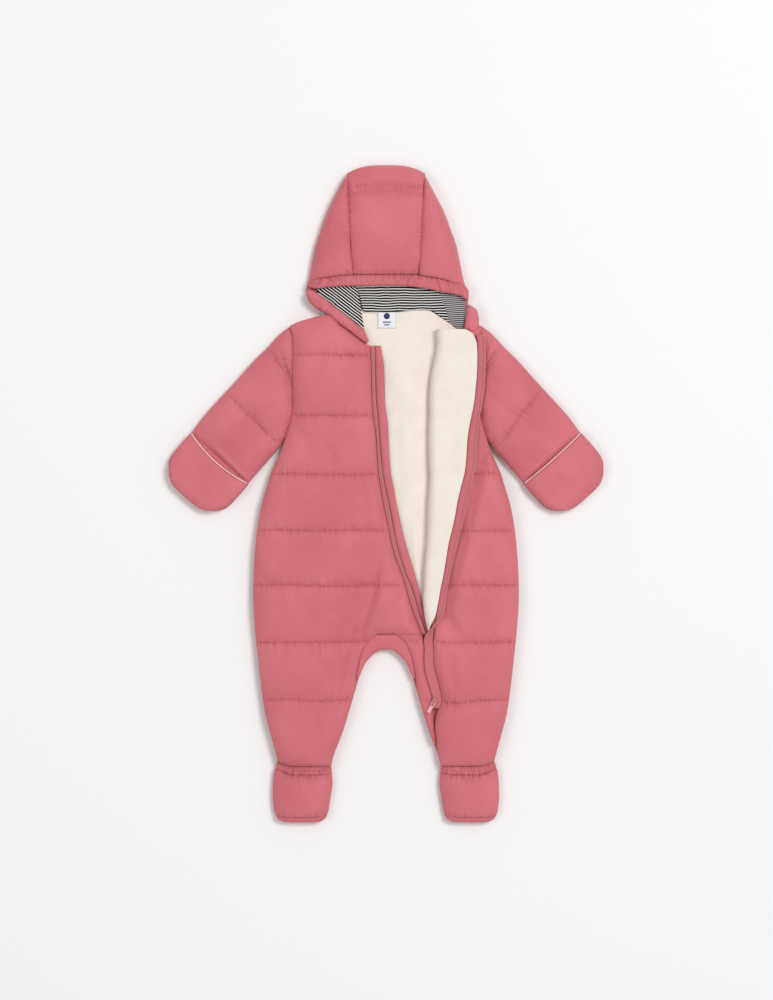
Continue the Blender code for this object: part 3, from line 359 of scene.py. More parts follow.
def stitched(distance, along, side, seed, depth=QUILT_DEPTH, reach=QUILT_REACH, pucker=1.0):
    """Height lost near a stitched line: the quilting's valley, and the short puckers across it."""
    # A point just past its seam counts as on it: a power of a negative distance has no value
    distance = np.maximum(distance, 0)
    groove = STITCH_GROOVE * (0.6 + 0.5 * noise(along / 8, 1.0, seed + 8)) * np.exp(-(distance / 1.5) ** 2)
    valley = depth * (1 - dome(distance + 0.8, reach)) + groove
    grain = noise(along / PUCKER_GRAIN + side * 9.5, distance / 16 + side * 3, seed)
    fine = noise(along / (PUCKER_GRAIN * 0.45) + side * 4.1, distance / 12, seed + 5)
    strength = 0.55 + 0.45 * noise(along / 34, side * 2.0, seed + 2)
    fade = np.exp(-(distance / PUCKER_REACH) ** 1.3)
    return valley + pucker * PUCKER_HEIGHT * strength * fade * (grain + 0.45 * fine)


def soft_creases(x, y, seed):
    """Broad shallow unevenness of padded cloth that lies at rest."""
    slow = noise(x / 46, y / 34, seed) + 0.5 * noise(x / 21 + 3, y / 26, seed + 1)
    drift = noise(x / 60, y / 60, seed + 3) * 14
    ridge = noise((x + y * 0.35 + drift) / 13, (y - x * 0.2) / 48, seed + 4)
    return 0.75 * slow + 0.42 * np.sign(ridge) * np.abs(ridge) ** 1.4


def folds(x, y, lines):
    """Height added by long soft folds.  Each has its line of points, height and half width."""
    height = np.zeros(np.shape(x))
    for points, rise, half in lines:
        distance, along, side = polyline_distance(x, y, points)
        length = sum(math.dist(start, end) for start, end in zip(points, points[1:]))
        ends = smooth_step(along, 0, 0.3 * length) * smooth_step(length - along, 0, 0.3 * length)
        height = height + rise * ends * np.exp(-(distance / half) ** 2)
    return height


def quilt_line_y(line, x, seed):
    """Height of a quilting line across the body.  It is stitched by hand feed, so never dead straight."""
    sway = 2.2 if line == QUILT_Y[-1] else 0.9
    return line + sway * noise(x / 38, line, seed)


def nearest_puckers(found, strength):
    """Keeps the nearest of several stitched lines, with its puckers gone where two lines are as near."""
    distances = np.array([np.abs(distance) for _, distance in found])
    nearest = np.argmin(distances, axis=0)
    ordered = np.sort(distances, axis=0)
    reach = np.clip(1.25 - ordered[0] / 13, 0, 1)
    if len(found) > 1:
        reach = reach * np.clip((ordered[1] - ordered[0]) / 5, 0, 1)
    along = np.choose(nearest, [along for along, _ in found]) + 71 * nearest
    uneven = 0.75 + 0.5 * noise(along / 26, 0.5, 7)
    return along, np.choose(nearest, [distance for _, distance in found]), strength * reach * uneven


def body_puckers(seed, strength=1.0):
    """Places along and across the nearest quilting line of a body panel."""
    return lambda x, y: nearest_puckers([(x, y - quilt_line_y(line, x, seed)) for line in QUILT_Y], strength)


def line_puckers(lines, strength=1.0):
    """Places along and across the nearest of several lines of points."""
    def places(x, y):
        found = [polyline_distance(x, y, line) for line in lines]
        return nearest_puckers([(along, distance * side) for distance, along, side in found], strength)
    return places


def body_relief(x, y, seed):
    """Height lost on a body panel to its quilting lines and the puckers along them."""
    lost = np.zeros(np.shape(x))
    for index, line in enumerate(QUILT_Y):
        offset = y - quilt_line_y(line, x, seed)
        here = stitched(np.abs(offset), x, np.sign(offset), seed + 11 * index)
        lost = np.where(np.abs(offset) < 30, np.maximum(lost, here), lost)
    return lost


# Making walls ------------------------------------------------------------------------------

def wall(name, across, down, outer, inner, ring=False, left_open=None, puckers=None):
    """Closed wall of cloth between two faces, from a grid that is extruded through its thickness.

    outer and inner give x, y and z of the stations on each face.  A ring joins its last column to
    its first.  left_open(column, row) names cells that stay out.  puckers(x, y) gives the place
    along and across the nearest stitched line and how strongly the cloth is gathered there.
    """
    across, down = np.asarray(across, float), np.asarray(down, float)
    columns, rows = len(across) - 1, len(down) - 1
    bm = bmesh.new()
    bmesh.ops.create_grid(bm, x_segments=columns, y_segments=rows, size=0.5)
    column_of = bm.verts.layers.int.new("column")
    row_of = bm.verts.layers.int.new("row")
    outside = bm.verts.layers.int.new("outside")
    for vert in bm.verts:
        vert[column_of] = round((vert.co.x + 0.5) * columns)
        vert[row_of] = round((vert.co.y + 0.5) * rows)
        if ring:
            angle = 2 * math.pi * (vert.co.x + 0.5)
            vert.co = (math.cos(angle), math.sin(angle), vert.co.y * 10)
    if ring:
        bmesh.ops.remove_doubles(bm, verts=bm.verts, dist=1e-4)
    if left_open:
        gone = [face for face in bm.faces
                if left_open(min(v[column_of] for v in face.verts), min(v[row_of] for v in face.verts))]
        bmesh.ops.delete(bm, geom=gone, context="FACES")
    for item in bmesh.ops.extrude_face_region(bm, geom=bm.faces[:])["geom"]:
        if isinstance(item, bmesh.types.BMVert):
            item[outside] = 1
    mesh = bpy.data.meshes.new(name)
    bm.to_mesh(mesh)
    bm.free()
    count = len(mesh.vertices)
    column, row, face = (np.empty(count, np.int32) for _ in range(3))
    for label, values in (("column", column), ("row", row), ("outside", face)):
        mesh.attributes[label].data.foreach_get("value", values)
        mesh.attributes.remove(mesh.attributes[label])
    stations = across[column], down[row]
    places = [np.stack(np.broadcast_arrays(*side(*stations)), axis=1) for side in (inner, outer)]
    points = np.where(face[:, None] == 1, places[1], places[0]) * MM
    mesh.vertices.foreach_set("co", points.ravel())
    if puckers:
        values = np.stack(np.broadcast_arrays(*puckers(points[:, 0] / MM, points[:, 1] / MM)), axis=1)
        places = mesh.attributes.new("puckers", "FLOAT_VECTOR", "POINT")
        places.data.foreach_set("vector", values.astype(np.float32).ravel())
    return finished(f"{name}_cloth", mesh)


def finished(name, mesh):
    """Object at the origin with its faces pointing outwards and smooth shading."""
    bm = bmesh.new()
    bm.from_mesh(mesh)
    bmesh.ops.recalc_face_normals(bm, faces=bm.faces)
    bm.to_mesh(mesh)
    bm.free()
    mesh.shade_smooth()
    obj = bpy.data.objects.new(name, mesh)
    bpy.context.scene.collection.objects.link(obj)
    return obj


def dress(obj, material, nodes):
    """Gives a piece its material, hides the nodes that it stands for, and lets it ride on the garment."""
    obj.data.materials.append(material)
    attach(obj, "garment")
    if nodes:
        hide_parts(*nodes)


def padded_shell(obj):
    """Finishes a padded piece, which is named for the node that it stands for."""
    dress(obj, SHELL, [obj.name.removesuffix("_cloth")])


# Body panels -------------------------------------------------------------------------------

def panel_row_y(x, row, top_edge):
    """Y of a body row at x.  Rows near the neck and the ankle follow those edges."""
    neck = mix(NECK_START, read(top_edge, 1, x), (row - NECK_START) / (BODY_EDGE[0, 0] - NECK_START))
    down = (row - LEG_END_START) / (LEG_END - LEG_END_START)
    ankle = mix(LEG_END_START, read(LEG_END_EDGE, 1, np.abs(x)), down)
    return np.where(row > NECK_START, neck, np.where(row < LEG_END_START, ankle, row))


def end_share(row):
    """Share of the full padding left near the shoulder and ankle ends of a body panel."""
    return dome(BODY_EDGE[0, 0] - row + 1, 24) * mix(0.4, 1, dome(row - LEG_END, 22))


def front_top(x, y, edge_distance, row, seed, rise=FRONT_RISE):
    """Height of a front panel's outer face: its padding, less its quilting, with soft creases."""
    swell = dome(edge_distance, 24) * end_share(row)
    lost = body_relief(x, y, seed)
    free = dome(edge_distance, 9) * end_share(row)
    relief = soft_creases(x, y, seed + 50) - lost * rise / FRONT_RISE
    return FRONT_EDGE_TOP + swell * (rise + PADDING_EXTRA) + free * relief


def edge_slope(edge_distance, low, high, reach=12.0):
    """Height of an underside that lifts from low at its sewn edge to high inside."""
    return mix(low, high, dome(edge_distance, reach))


def fork_blend(row, first, last):
    """0 above the first row, 1 at the last, where the columns have parted for the legs."""
    return np.clip((first - row) / (first - last), 0, 1)


BACK_HALF = 40
BACK_SEED = 300


def panel_rows(stops, step):
    """Body rows that include the stops, and lie close together along each quilting line."""
    near = np.concatenate([line + np.arange(-6.4, 6.5, 0.8) for line in QUILT_Y])
    rows = refine(stops, step)
    inside = [row for row in near if stops[-1] < row < stops[0]]
    keep = [row for row in inside if np.min(np.abs(np.array(stops) - row)) > 0.35]
    rows = [row for row in rows if row in stops or np.min(np.abs(near - row)) > 0.5]
    return np.array(sorted(rows + keep, reverse=True))


def make_back():
    """Back panel with both legs, flat where it rests and grooved under its quilting lines."""
    rows = refine([*SHOULDER_ROWS, BACK_PARTED, -174.2, -176, -180, LEG_END], 3.0)

    def column_x(column, row):
        edge = read(BODY_EDGE, 1, row)
        spread = mix(-edge, edge, column / (2 * BACK_HALF + 1))
        parted = fork_blend(row, BACK_LEAN, BACK_PARTED)
        fork = read(FORK_BACK, 1, row)
        left = mix(spread, mix(-edge, -fork, column / BACK_HALF), parted)
        right = mix(spread, mix(fork, edge, (column - BACK_HALF - 1) / BACK_HALF), parted)
        return np.where(column <= BACK_HALF, left, right)

    def face(outside):
        def place(column, row):
            x = column_x(column, row)
            y = panel_row_y(x, row, BACK_TOP_EDGE)
            distance = read(BODY_EDGE, 1, row) - np.abs(x)
            if not outside:
                return x, y, BACK_TOP - 1.2 * (1 - dome(distance, 6))
            channel = np.clip(body_relief(x, y, BACK_SEED) - 2.6, 0, 4) * 0.9
            inside = dome(distance, 30)
            return x, y, mix(BACK_EDGE_LIFT, 0, dome(distance, 14)) + channel * inside
        return place

    back = wall("back", range(2 * BACK_HALF + 2), rows, face(True), face(False),
                left_open=lambda column, row: column == BACK_HALF and rows[row] <= BACK_PARTED,
                puckers=body_puckers(BACK_SEED))
    padded_shell(back)


FRONT_SEED = 20
STRIP_COLUMNS = 8
BODY_COLUMNS = 104


def make_front_right():
    """Right front with its leg, and the strip that runs down the left leg beside the zip."""
    columns = BODY_COLUMNS + 1 + STRIP_COLUMNS
    rows = panel_rows([*SHOULDER_ROWS, FRONT_PARTED, -157.4, -160, STRIP_END, LEG_END], 2.4)

    def zip_edge(row):
        return np.where(row >= FRONT_FORK, read(ZIP_RIGHT, 1, row), read(ZIP_STRIP, 1, row))

    def column_x(column, row):
        side = -read(BODY_EDGE, 1, row)
        spread = mix(side, zip_edge(row), column / columns)
        parted = fork_blend(row, FRONT_LEAN, FRONT_PARTED)
        fork = read(FORK_FRONT, 1, row)
        body = mix(spread, mix(side, -fork, column / BODY_COLUMNS), parted)
        strip = mix(spread, mix(fork, zip_edge(row), (column - BODY_COLUMNS - 1) / STRIP_COLUMNS), parted)
        return np.where(column <= BODY_COLUMNS, body, strip)

    def edge_distance(x, y, row):
        fork = read(FORK_FRONT, 1, row)
        side = x + read(BODY_EDGE, 1, row)
        above = np.minimum(side, zip_edge(row) - x)
        seam = polyline_distance(x, y, GUSSET_SEAM)[0]
        below = np.where(x < 0, np.minimum(side, -fork - x), np.minimum(x - fork, zip_edge(row) - x))
        return np.where(row > FRONT_FORK, np.minimum(above, seam), np.minimum(below, seam + 0.01))

    def top(column, row):
        x = column_x(column, row)
        y = panel_row_y(x, row, FRONT_RIGHT_TOP_EDGE)
        on_strip = (column > BODY_COLUMNS) & (row <= FRONT_FORK)
        rise = np.where(on_strip, FRONT_RISE * 0.6, FRONT_RISE)
        z = front_top(x, y, np.maximum(edge_distance(x, y, row), 0), row, FRONT_SEED, rise)
        seam = polyline_distance(x, y, GUSSET_SEAM)[0]
        z = z + 2.0 * np.exp(-seam / 5)
        return x, y, z + folds(x, y, FRONT_FOLDS) * dome(np.maximum(edge_distance(x, y, row), 0), 20)

    def underside(column, row):
        x = column_x(column, row)
        side_distance = np.where(x < 0, x + read(BODY_EDGE, 1, row), FRONT_REACH)
        z = edge_slope(side_distance, FRONT_EDGE_BOTTOM, FRONT_BOTTOM)
        return x, panel_row_y(x, row, FRONT_RIGHT_TOP_EDGE), z

    def open_cell(column, row):
        fork = column == BODY_COLUMNS and rows[row] <= FRONT_PARTED
        return fork or (column > BODY_COLUMNS and rows[row] <= STRIP_END)

    padded_shell(wall("front_right", range(columns + 1), rows, top, underside, left_open=open_cell,
                      puckers=body_puckers(FRONT_SEED)))


# Left front, turned back on itself ---------------------------------------------------------

def fold_point(row, distance, offset):
    """Point of the left front beyond the start of its turn.

    distance runs along the middle of the cloth, and is negative on the layer below.
    offset is measured towards the lining.  Gives x and z.
    """
    fold, turn = read(FOLD, 1, row), np.radians(read(FOLD, 4, row))
    centre = fold + FOLD_SETBACK * np.sin(np.minimum(turn, math.pi / 2))
    angle = np.minimum(np.maximum(distance, 0) / FOLD_MID_RADIUS, turn)
    beyond = np.maximum(distance - FOLD_MID_RADIUS * turn, 0) + np.minimum(distance, 0)
    x = centre - FOLD_MID_RADIUS * np.sin(angle) - beyond * np.cos(angle) - offset * np.sin(angle)
    z = FOLD_CENTRE_Z - FOLD_MID_RADIUS * np.cos(angle) + beyond * np.sin(angle) - offset * np.cos(angle)
    return x, z


def fold_reach(row):
    """Distance from the start of the turn to the free edge of the left front."""
    turn = np.radians(read(FOLD, 4, row))
    centre = read(FOLD, 1, row) + FOLD_SETBACK * np.sin(np.minimum(turn, math.pi / 2))
    straight = np.where(turn > math.pi / 2, np.maximum(read(FOLD, 2, row) - centre, 0.2), 0.2)
    return FOLD_MID_RADIUS * turn + straight


LOWER_COLUMNS, TURN_COLUMNS, UPPER_COLUMNS = 76, 12, 24
LEFT_COLUMNS = LOWER_COLUMNS + TURN_COLUMNS + UPPER_COLUMNS
LEFT_SEED = 140


def left_front_y(column, row):
    """Y of a left front station: the neck edge drops from the shoulder to the zip corner."""
    corners = (0, 22, LOWER_COLUMNS, LEFT_COLUMNS - 6, LEFT_COLUMNS)
    neck = np.interp(column, corners, (188, 184.5, 184.5, 184, 179))
    up = (row - NECK_START) / (BODY_EDGE[0, 0] - NECK_START)
    return np.where(row > NECK_START, mix(NECK_START, neck, up), row)


def make_front_left():
    """Left front, turned back on itself above the fork and flat down the leg."""
    rows = panel_rows([*SHOULDER_ROWS, FOLD_OPENS, FOLD_OPEN, -232, -246, LEG_END], 2.4)

    def fold_distance(column, row):
        turn_length = FOLD_MID_RADIUS * np.radians(read(FOLD, 4, row))
        in_turn = turn_length * (column - LOWER_COLUMNS) / TURN_COLUMNS
        above = mix(turn_length, fold_reach(row), (column - LOWER_COLUMNS - TURN_COLUMNS) / UPPER_COLUMNS)
        return np.where(column <= LOWER_COLUMNS + TURN_COLUMNS, in_turn, above)

    def folded(column, row, face):
        side = read(BODY_EDGE, 1, row)
        x = mix(side, fold_point(row, 0.0, 0.0)[0], np.minimum(column, LOWER_COLUMNS) / LOWER_COLUMNS)
        band = read(FOLD, 2, row) + read(FOLD, 3, row)
        if face > 0:
            free = front_top(x, row, np.minimum(side - x, 60), row, LEFT_SEED)
            free = free + folds(x, row, LEFT_FOLDS)
            pressed = smooth_step(x, band - 2, band + 15)
            under_fold = FOLD_CENTRE_Z - FOLD_SLIT / 2
            z = np.minimum(free, mix(under_fold, free, pressed))
        else:
            z = edge_slope(side - x, FRONT_EDGE_BOTTOM, FOLD_BOTTOM)
        turn_x, turn_z = fold_point(row, fold_distance(column, row), -face * FOLD_HALF_WALL)
        lower = column < LOWER_COLUMNS
        return np.where(lower, x, turn_x), np.where(lower, z, turn_z)

    def flat(column, row, face):
        side, edge = read(BODY_EDGE, 1, row), read(LEG_ZIP_EDGE, 1, row)
        x = mix(side, edge, column / LEFT_COLUMNS)
        if face > 0:
            y = panel_row_y(x, row, BACK_TOP_EDGE)
            z = front_top(x, y, np.minimum(side - x, x - edge), row, LEFT_SEED)
            return x, z + folds(x, y, LEFT_FOLDS)
        return x, edge_slope(side - x, FRONT_EDGE_BOTTOM, FRONT_BOTTOM)

    def placed(face):
        def place(column, row):
            opened = fork_blend(row, FOLD_OPENS, FOLD_OPEN)
            fold_x, fold_z = folded(column, row, face)
            flat_x, flat_z = flat(column, row, face)
            x, z = mix(fold_x, flat_x, opened), mix(fold_z, flat_z, opened)
            y = np.where(opened > 0, panel_row_y(x, row, BACK_TOP_EDGE), left_front_y(column, row))
            return x, y, z
        return place

    padded_shell(wall("front_left", range(LEFT_COLUMNS + 1), rows, placed(1), placed(-1),
                      puckers=body_puckers(LEFT_SEED)))


LINING_UNDER = 9.0
LINING_TURN, LINING_ABOVE = 14, 24


def make_front_left_lining():
    """Fleece on the turned-back part of the left front, from under the fold to the free edge."""
    rows = refine([*SHOULDER_ROWS, FOLD_OPENS, LINING_FOLD_END], 2.3)
    layer_bottom = FOLD_HALF_WALL + SEAM_GAP

    def distance(column, row):
        turn_length = FOLD_MID_RADIUS * np.radians(read(FOLD, 4, row))
        turning = turn_length * (column - 2) / LINING_TURN
        above = mix(turn_length, fold_reach(row), (column - 2 - LINING_TURN) / LINING_ABOVE)
        under = -LINING_UNDER * (1 - column / 2)
        return np.where(column <= 2, under, np.where(column <= 2 + LINING_TURN, turning, above))

    def placed(offset):
        def place(column, row):
            share = np.maximum(column - 2, 0) / (LINING_TURN + LINING_ABOVE)
            front_column = LOWER_COLUMNS + (TURN_COLUMNS + UPPER_COLUMNS) * share
            y = left_front_y(front_column, row)
            travel = distance(column, row)
            swell = 0.0
            if offset > layer_bottom:
                lift = dome(travel + LINING_UNDER, 10) * dome(fold_reach(row) - travel, 9)
                creases = 0.55 * noise(travel / 17, y / 62, 71) + 0.3 * noise(travel / 9, y / 30, 72)
                quilt = sum(np.exp(-((y - line) / 9) ** 2) for line in QUILT_Y)
                trough = np.exp(-((travel - 27) / 7) ** 2) * (0.7 + 0.6 * noise(row / 45, 0.5, 74))
                swell = lift * (0.9 + creases - 0.7 * quilt - 1.3 * trough)
            x, z = fold_point(row, travel, offset + swell)
            return x, y, z
        return place

    columns = range(LINING_TURN + LINING_ABOVE + 3)
    lining = wall("front_left_lining", columns, rows, placed(layer_bottom + FLEECE), placed(layer_bottom))
    dress(lining, FLEECE_PILE, ["front_left_lining"])


# Between the wind guard and the folded front the open fleece puffs up a little
PUFF_SETBACK = 4.0
PUFF_FOOT, PUFF_TOP = -152, 182


def make_back_lining():
    """Fleece of the back, where it shows in the opening."""
    def placed(top):
        def place(share, row):
            x = mix(read(BACK_LINING, 1, row), read(BACK_LINING, 2, row), share)
            near_neck = np.maximum(row - NECK_START, 0) / (BACK_LINING[0, 0] - NECK_START)
            y = mix(row, mix(NECK_START, read(BACK_TOP_EDGE, 1, x) - 1, near_neck), near_neck)
            if not top:
                return x, y, LINING_BOTTOM
            inside = dome(np.minimum(share, 1 - share) * 90, 16)
            creases = 0.5 * noise(x / 15, y / 44, 81) + 0.3 * noise((x + y) / 12, y / 30, 82)
            quilt = sum(np.exp(-((y - line) / 8) ** 2) for line in QUILT_Y)
            open_width = np.minimum(x - read(ZIP_RIGHT, 3, y) - 1, read(FOLD, 1, y) - PUFF_SETBACK - x)
            puff = dome(np.maximum(open_width, 0), 15) * (3.0 + 1.3 * noise(x / 11, y / 60, 83))
            ends = smooth_step(y, PUFF_FOOT, PUFF_FOOT + 30) * smooth_step(PUFF_TOP - y, 0, 36)
            relief = inside * np.clip(0.1 + 0.4 * creases - 0.3 * quilt, -0.4, 0.35)
            return x, y, LINING_TOP - 0.2 + relief + puff * ends
        return place

    rows = refine([BACK_LINING[0, 0], NECK_START, BACK_LINING[-1, 0]], 2.6)
    lining = wall("back_lining", refine([0, 1], 0.028), rows, placed(True), placed(False))
    dress(lining, FLEECE_PILE, ["back_lining"])


# Crotch gusset -----------------------------------------------------------------------------

# The gusset runs a little under the fronts, past its seam
GUSSET_TUCK = 1.07


def make_crotch_gusset():
    """Narrow curved piece let in at the fork of the legs."""
    table = by_index(GUSSET)
    last = len(table) - 1

    def placed(top):
        def place(station, share):
            side = np.where(station < 0, -1, 1)
            x, y, seam_x, seam_y = (read(table, column, np.abs(station)) for column in (1, 2, 3, 4))
            share_under = share * GUSSET_TUCK
            place_x, place_y = side * mix(x, seam_x, share_under), mix(y, seam_y, share_under)
            if not top:
                return place_x, place_y, FRONT_EDGE_BOTTOM
            pull = 0.35 * noise(station * 4, share * 3, 91)
            return place_x, place_y, 13.0 + 2.2 * dome(share, 0.6) + pull * share * (1 - share) * 4
        return place

    stations = refine([-last, 0, last], 0.16)
    padded_shell(wall("crotch_gusset", stations, refine([0, 1], 0.1), placed(True), placed(False)))


# Zip ---------------------------------------------------------------------------------------

# Half the thickness of the left tape, and the teeth: how far apart, and length, width and height
TAPE_THIN = 0.7
TOOTH_PITCH = 1.9
TOOTH_SIZE = (2.3, 1.15, 1.5)


def make_teeth(name, points):
    """Row of zip teeth along a line of points, each a small rounded block across the line."""
    points = [Vector(point) for point in points]
    bm = bmesh.new()
    travelled, due = 0.0, 0.0
    for start, end in zip(points, points[1:]):
        length = (end - start).length
        if length < 1e-6:
            continue
        along = (end - start) / length
        turn = Matrix.Rotation(math.atan2(along.y, along.x) + math.pi / 2, 4, "Z")
        while due <= travelled + length:
            place = Matrix.Translation((start + along * (due - travelled)) * MM)
            size = Matrix.Diagonal((*[value * MM for value in TOOTH_SIZE], 1))
            cube = bmesh.ops.create_cube(bm, size=1, matrix=place @ turn @ size)
            edges = {edge for vert in cube["verts"] for edge in vert.link_edges}
            bmesh.ops.bevel(bm, geom=list(edges), offset=0.22 * MM, offset_type="OFFSET", segments=1,
                            profile=0.5, affect="EDGES", material=-1)
            due += TOOTH_PITCH
        travelled += length
    mesh = bpy.data.meshes.new(name)
    bm.to_mesh(mesh)
    bm.free()
    dress(finished(name, mesh), ZIP_TEETH, [])


def make_zip_right():
    """Right zip tape and the wind guard beside it, both under the edge of the right front."""
    tape_rows = refine([ZIP_TOP_RIGHT, FRONT_FORK], 2.5)
    guard_rows = refine([ZIP_TOP_RIGHT, FRONT_FORK + 1], 2.5)

    def strip(near, far, z, bulge=0.0, crease=0.0):
        def place(column, row):
            x = mix(read(ZIP_RIGHT, near, row) + SEAM_GAP, read(ZIP_RIGHT, far, row), column)
            lift = bulge * np.sin(math.pi * column) + crease * noise(row / 9, column * 1.5, 61)
            return x, row + 0 * column, z + lift + 0 * column
        return place

    shares = refine([0, 1], 0.1)
    tape = wall("zip_tape_right", shares, tape_rows, strip(1, 2, 14.8, 0.3), strip(1, 2, 13.4, 0.3))
    dress(tape, TAPE, ["zip_tape_right"])
    guard = wall("wind_guard", shares, guard_rows, strip(2, 3, 12.4, 0.9, 0.45), strip(2, 3, 11.2, 0.9, 0.45))
    # The guard's nylon is coloured darker as painted shade under the edge of the right front
    dress(guard, GUARD_NYLON_PAINTED_SHADE, ["wind_guard"])
    teeth_rows = np.linspace(ZIP_TOP_RIGHT - 6, FRONT_FORK + 9, 90)
    make_teeth("zip_teeth_right", [(float(read(ZIP_RIGHT, 2, y)) - 0.9, y, 15.3) for y in teeth_rows])


def left_tape_point(row, share, side):
    """Point across the left tape: share 0 at the front's edge, 1 at the teeth."""
    edge = read(LEG_ZIP_EDGE, 1, row) + 0.3
    left = read(ZIP_STRIP, 1, row) + STRIP_GAP
    opened = fork_blend(row, FOLD_OPENS, FOLD_OPEN)
    gap = mix(TAPE_GAP, TAPE_OPENING_GAP, np.minimum(1, 3 * opened))
    reach = fold_reach(row) + gap + read(FOLD, 3, row) * share
    fold_x, fold_z = fold_point(row, reach, side * TAPE_THIN)
    closed_z = TAPE_CLOSED_Z - side * TAPE_THIN
    return mix(fold_x, mix(edge, left, share), opened), row, mix(fold_z, closed_z, opened)


def make_zip_left():
    """Left zip tape and its teeth, turned back with the front and closed further down."""
    rows = refine([ZIP_TOP_LEFT, 172, FOLD_OPENS, FOLD_OPEN, ZIP_CLOSED_END], 2.4)

    def placed(side):
        return lambda share, row: left_tape_point(row, share, side)

    tape = wall("zip_tape_left", refine([0, 1], 0.1), rows, placed(-1), placed(1))
    dress(tape, TAPE, ["zip_tape_left"])

    def tooth(row):
        opened = float(fork_blend(row, FOLD_OPENS, FOLD_OPEN))
        x, y, z = left_tape_point(row, mix(0.86, 0.5, opened), -1)
        low = left_tape_point(row, mix(0.86, 0.5, opened), 1)[2]
        return float(x), row, max(float(z), float(low)) + 0.4

    make_teeth("zip_teeth_left", [tooth(row) for row in np.linspace(ZIP_TOP_LEFT - 1, -150, 110)])


def finish_pull():
    """The cast slider and its tab keep their shape, with rounded edges and enamelled colours; the tab's pale
    colour is a painted highlight.
    """
    for name, enamel_and_painted_highlight in (("zip_slider", SLIDER_ENAMEL), ("zip_pull", PULL_ENAMEL_PAINTED_HIGHLIGHT)):
        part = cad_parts[name]
        for material_slot in part.material_slots:
            # The pull tab's pale colour is a painted highlight
            material_slot.material = enamel_and_painted_highlight
        bevel = part.modifiers.new("rounded", "BEVEL")
        bevel.width = 0.28 * MM
        bevel.segments = 3
        bevel.limit_method = "ANGLE"


# Hood --------------------------------------------------------------------------------------

def hood_seam(y):
    """Half width of the hood's centre panel."""
    return 37 + 0.0575 * np.maximum(0, y - 245) + 0.05 * np.maximum(0, 245 - y)


def section_stations(section, step):
    """Index stations of a section, closer together where its points lie far apart."""
    points = np.array([row[:2] for row in section], float)
    stations = [0.0]
    for index, gap in enumerate(np.hypot(*np.diff(points, axis=0).T)):
        count = max(2, math.ceil(gap / step))
        stations += [index + part / count for part in range(1, count + 1)]
    return np.array(stations)


def by_index(section):
    """A table with each row's number put before it, to be read by station."""
    return np.array([(index, *row) for index, row in enumerate(section)], float)


def hood_relief(x, y, seam_distance, seed):
    """Height lost on the hood to the seams, its quilting line and the gathers of the brow."""
    quilt = y - (CROWN_QUILT_Y - 0.02 * x + 1.2 * noise(x / 17, 0.5, seed))
    lost = stitched(np.abs(quilt), x, np.sign(quilt), seed, depth=3.4, reach=15, pucker=0.9)
    seam = stitched(seam_distance, y, np.sign(x), seed + 3, depth=2.5, reach=15, pucker=0.9)
    brow = np.maximum(y - np.array(brow_stitch(x)), 0)
    fold = 1.6 * np.sqrt(np.abs(noise(x / 3.4, brow / 24, seed + 7))) - 1
    gathers = (0.6 + 0.4 * noise(x / 14, 2.0, seed + 6)) * fold
    return np.maximum(lost, seam) - 2.0 * gathers * np.exp(-(brow / 11) ** 1.2)


def brow_stitch(x):
    """Y of the stitch line between the hood and its casing."""
    return read(BROW, 2, x)


BROW_LINE = [(x, y) for x, _, y in BROW]
HOOD_LINES = (BROW_LINE, ((-44, 360), (-37, 245)), ((44, 360), (37, 245)))
CROWN_LINE = ((-46, 342.5), (46, 341.5))


def make_hood_centre():
    """Middle panel of the hood, from the brow over the crown to the neck."""
    table = by_index(HOOD_SECTION)

    def placed(y_column, z_column):
        def place(across, station):
            y, z = read(table, y_column + 1, station), read(table, z_column + 1, station)
            near_crown = np.clip((y - 300) / 60, 0, 1)
            x = across * (hood_seam(y - CROWN_ARCH * near_crown) + SEAM_LAP / 2)
            y = y - CROWN_ARCH * near_crown * np.abs(across) ** 3
            if z_column == 1:
                inside = smooth_step(z, 13, 19)
                seam = (1 - np.abs(across)) * 38
                z = z - np.where(z > 12.5, 1, 0) * 1.8 * np.abs(across) ** 5
                z = z - inside * (hood_relief(x, y, seam, 501) - 1.1 - 1.2 * soft_creases(x, y, 511))
            return x, y, z
        return place

    across = refine([-1, 0, 1], 1 / 32)
    padded_shell(wall("hood_centre", across, section_stations(HOOD_SECTION, 2.4), placed(0, 1), placed(2, 3),
                      puckers=line_puckers((*HOOD_LINES, CROWN_LINE))))


def make_hood_side(name, side):
    """Side panel of the hood, folded round its rim, on one side."""
    table = by_index(HOOD_SIDE_SECTION)
    outline, back_end = HOOD_EDGES[side]

    def placed(reach_column, z_column):
        def place(station, share):
            reach, z, back = (read(table, column, station) for column in (reach_column + 1, z_column + 1, 5))
            end_x = mix(40, 87, reach)
            for _ in range(4):
                front_end = brow_stitch(side * end_x) + CASING_GAP
                end = mix(front_end, read(back_end, 1, end_x), back)
                end_x = mix(hood_seam(end), read(outline, 1, end), reach)
            crown = mix(HOOD_SIDE_TOP + 4 - 15 * back, HOOD_SIDE_TOP - 2 - 6 * back, reach)
            y = mix(crown, end, share)
            low = smooth_step(y, 340, 361) ** 2
            z = mix(z, 9.2 if z_column == 1 else z, low * (z > 9.2))
            seam_x, rim_x = hood_seam(y), read(outline, 1, y)
            x = mix(seam_x, rim_x, reach)
            if z_column == 1:
                inside = smooth_step(z, 12, 17) * np.where(back < 0.05, 1, 0)
                end_valley = 3.0 * (1 - dome((1 - share) * 130 + 1, 14)) + 2 * (1 - dome(share * 130 + 1, 12))
                lost = hood_relief(side * x, y, x - seam_x, 530 + side)
                z = z - inside * (np.maximum(lost, end_valley) - 1.0 - 1.3 * soft_creases(x, y, 541 + side))
            return side * x, y, z
        return place

    stations = section_stations([(row[0] * 48, row[1]) for row in HOOD_SIDE_SECTION], 2.2)
    padded_shell(wall(name, stations, refine([0, 1], 1 / 56), placed(0, 1), placed(2, 3),
                      puckers=line_puckers(HOOD_LINES)))


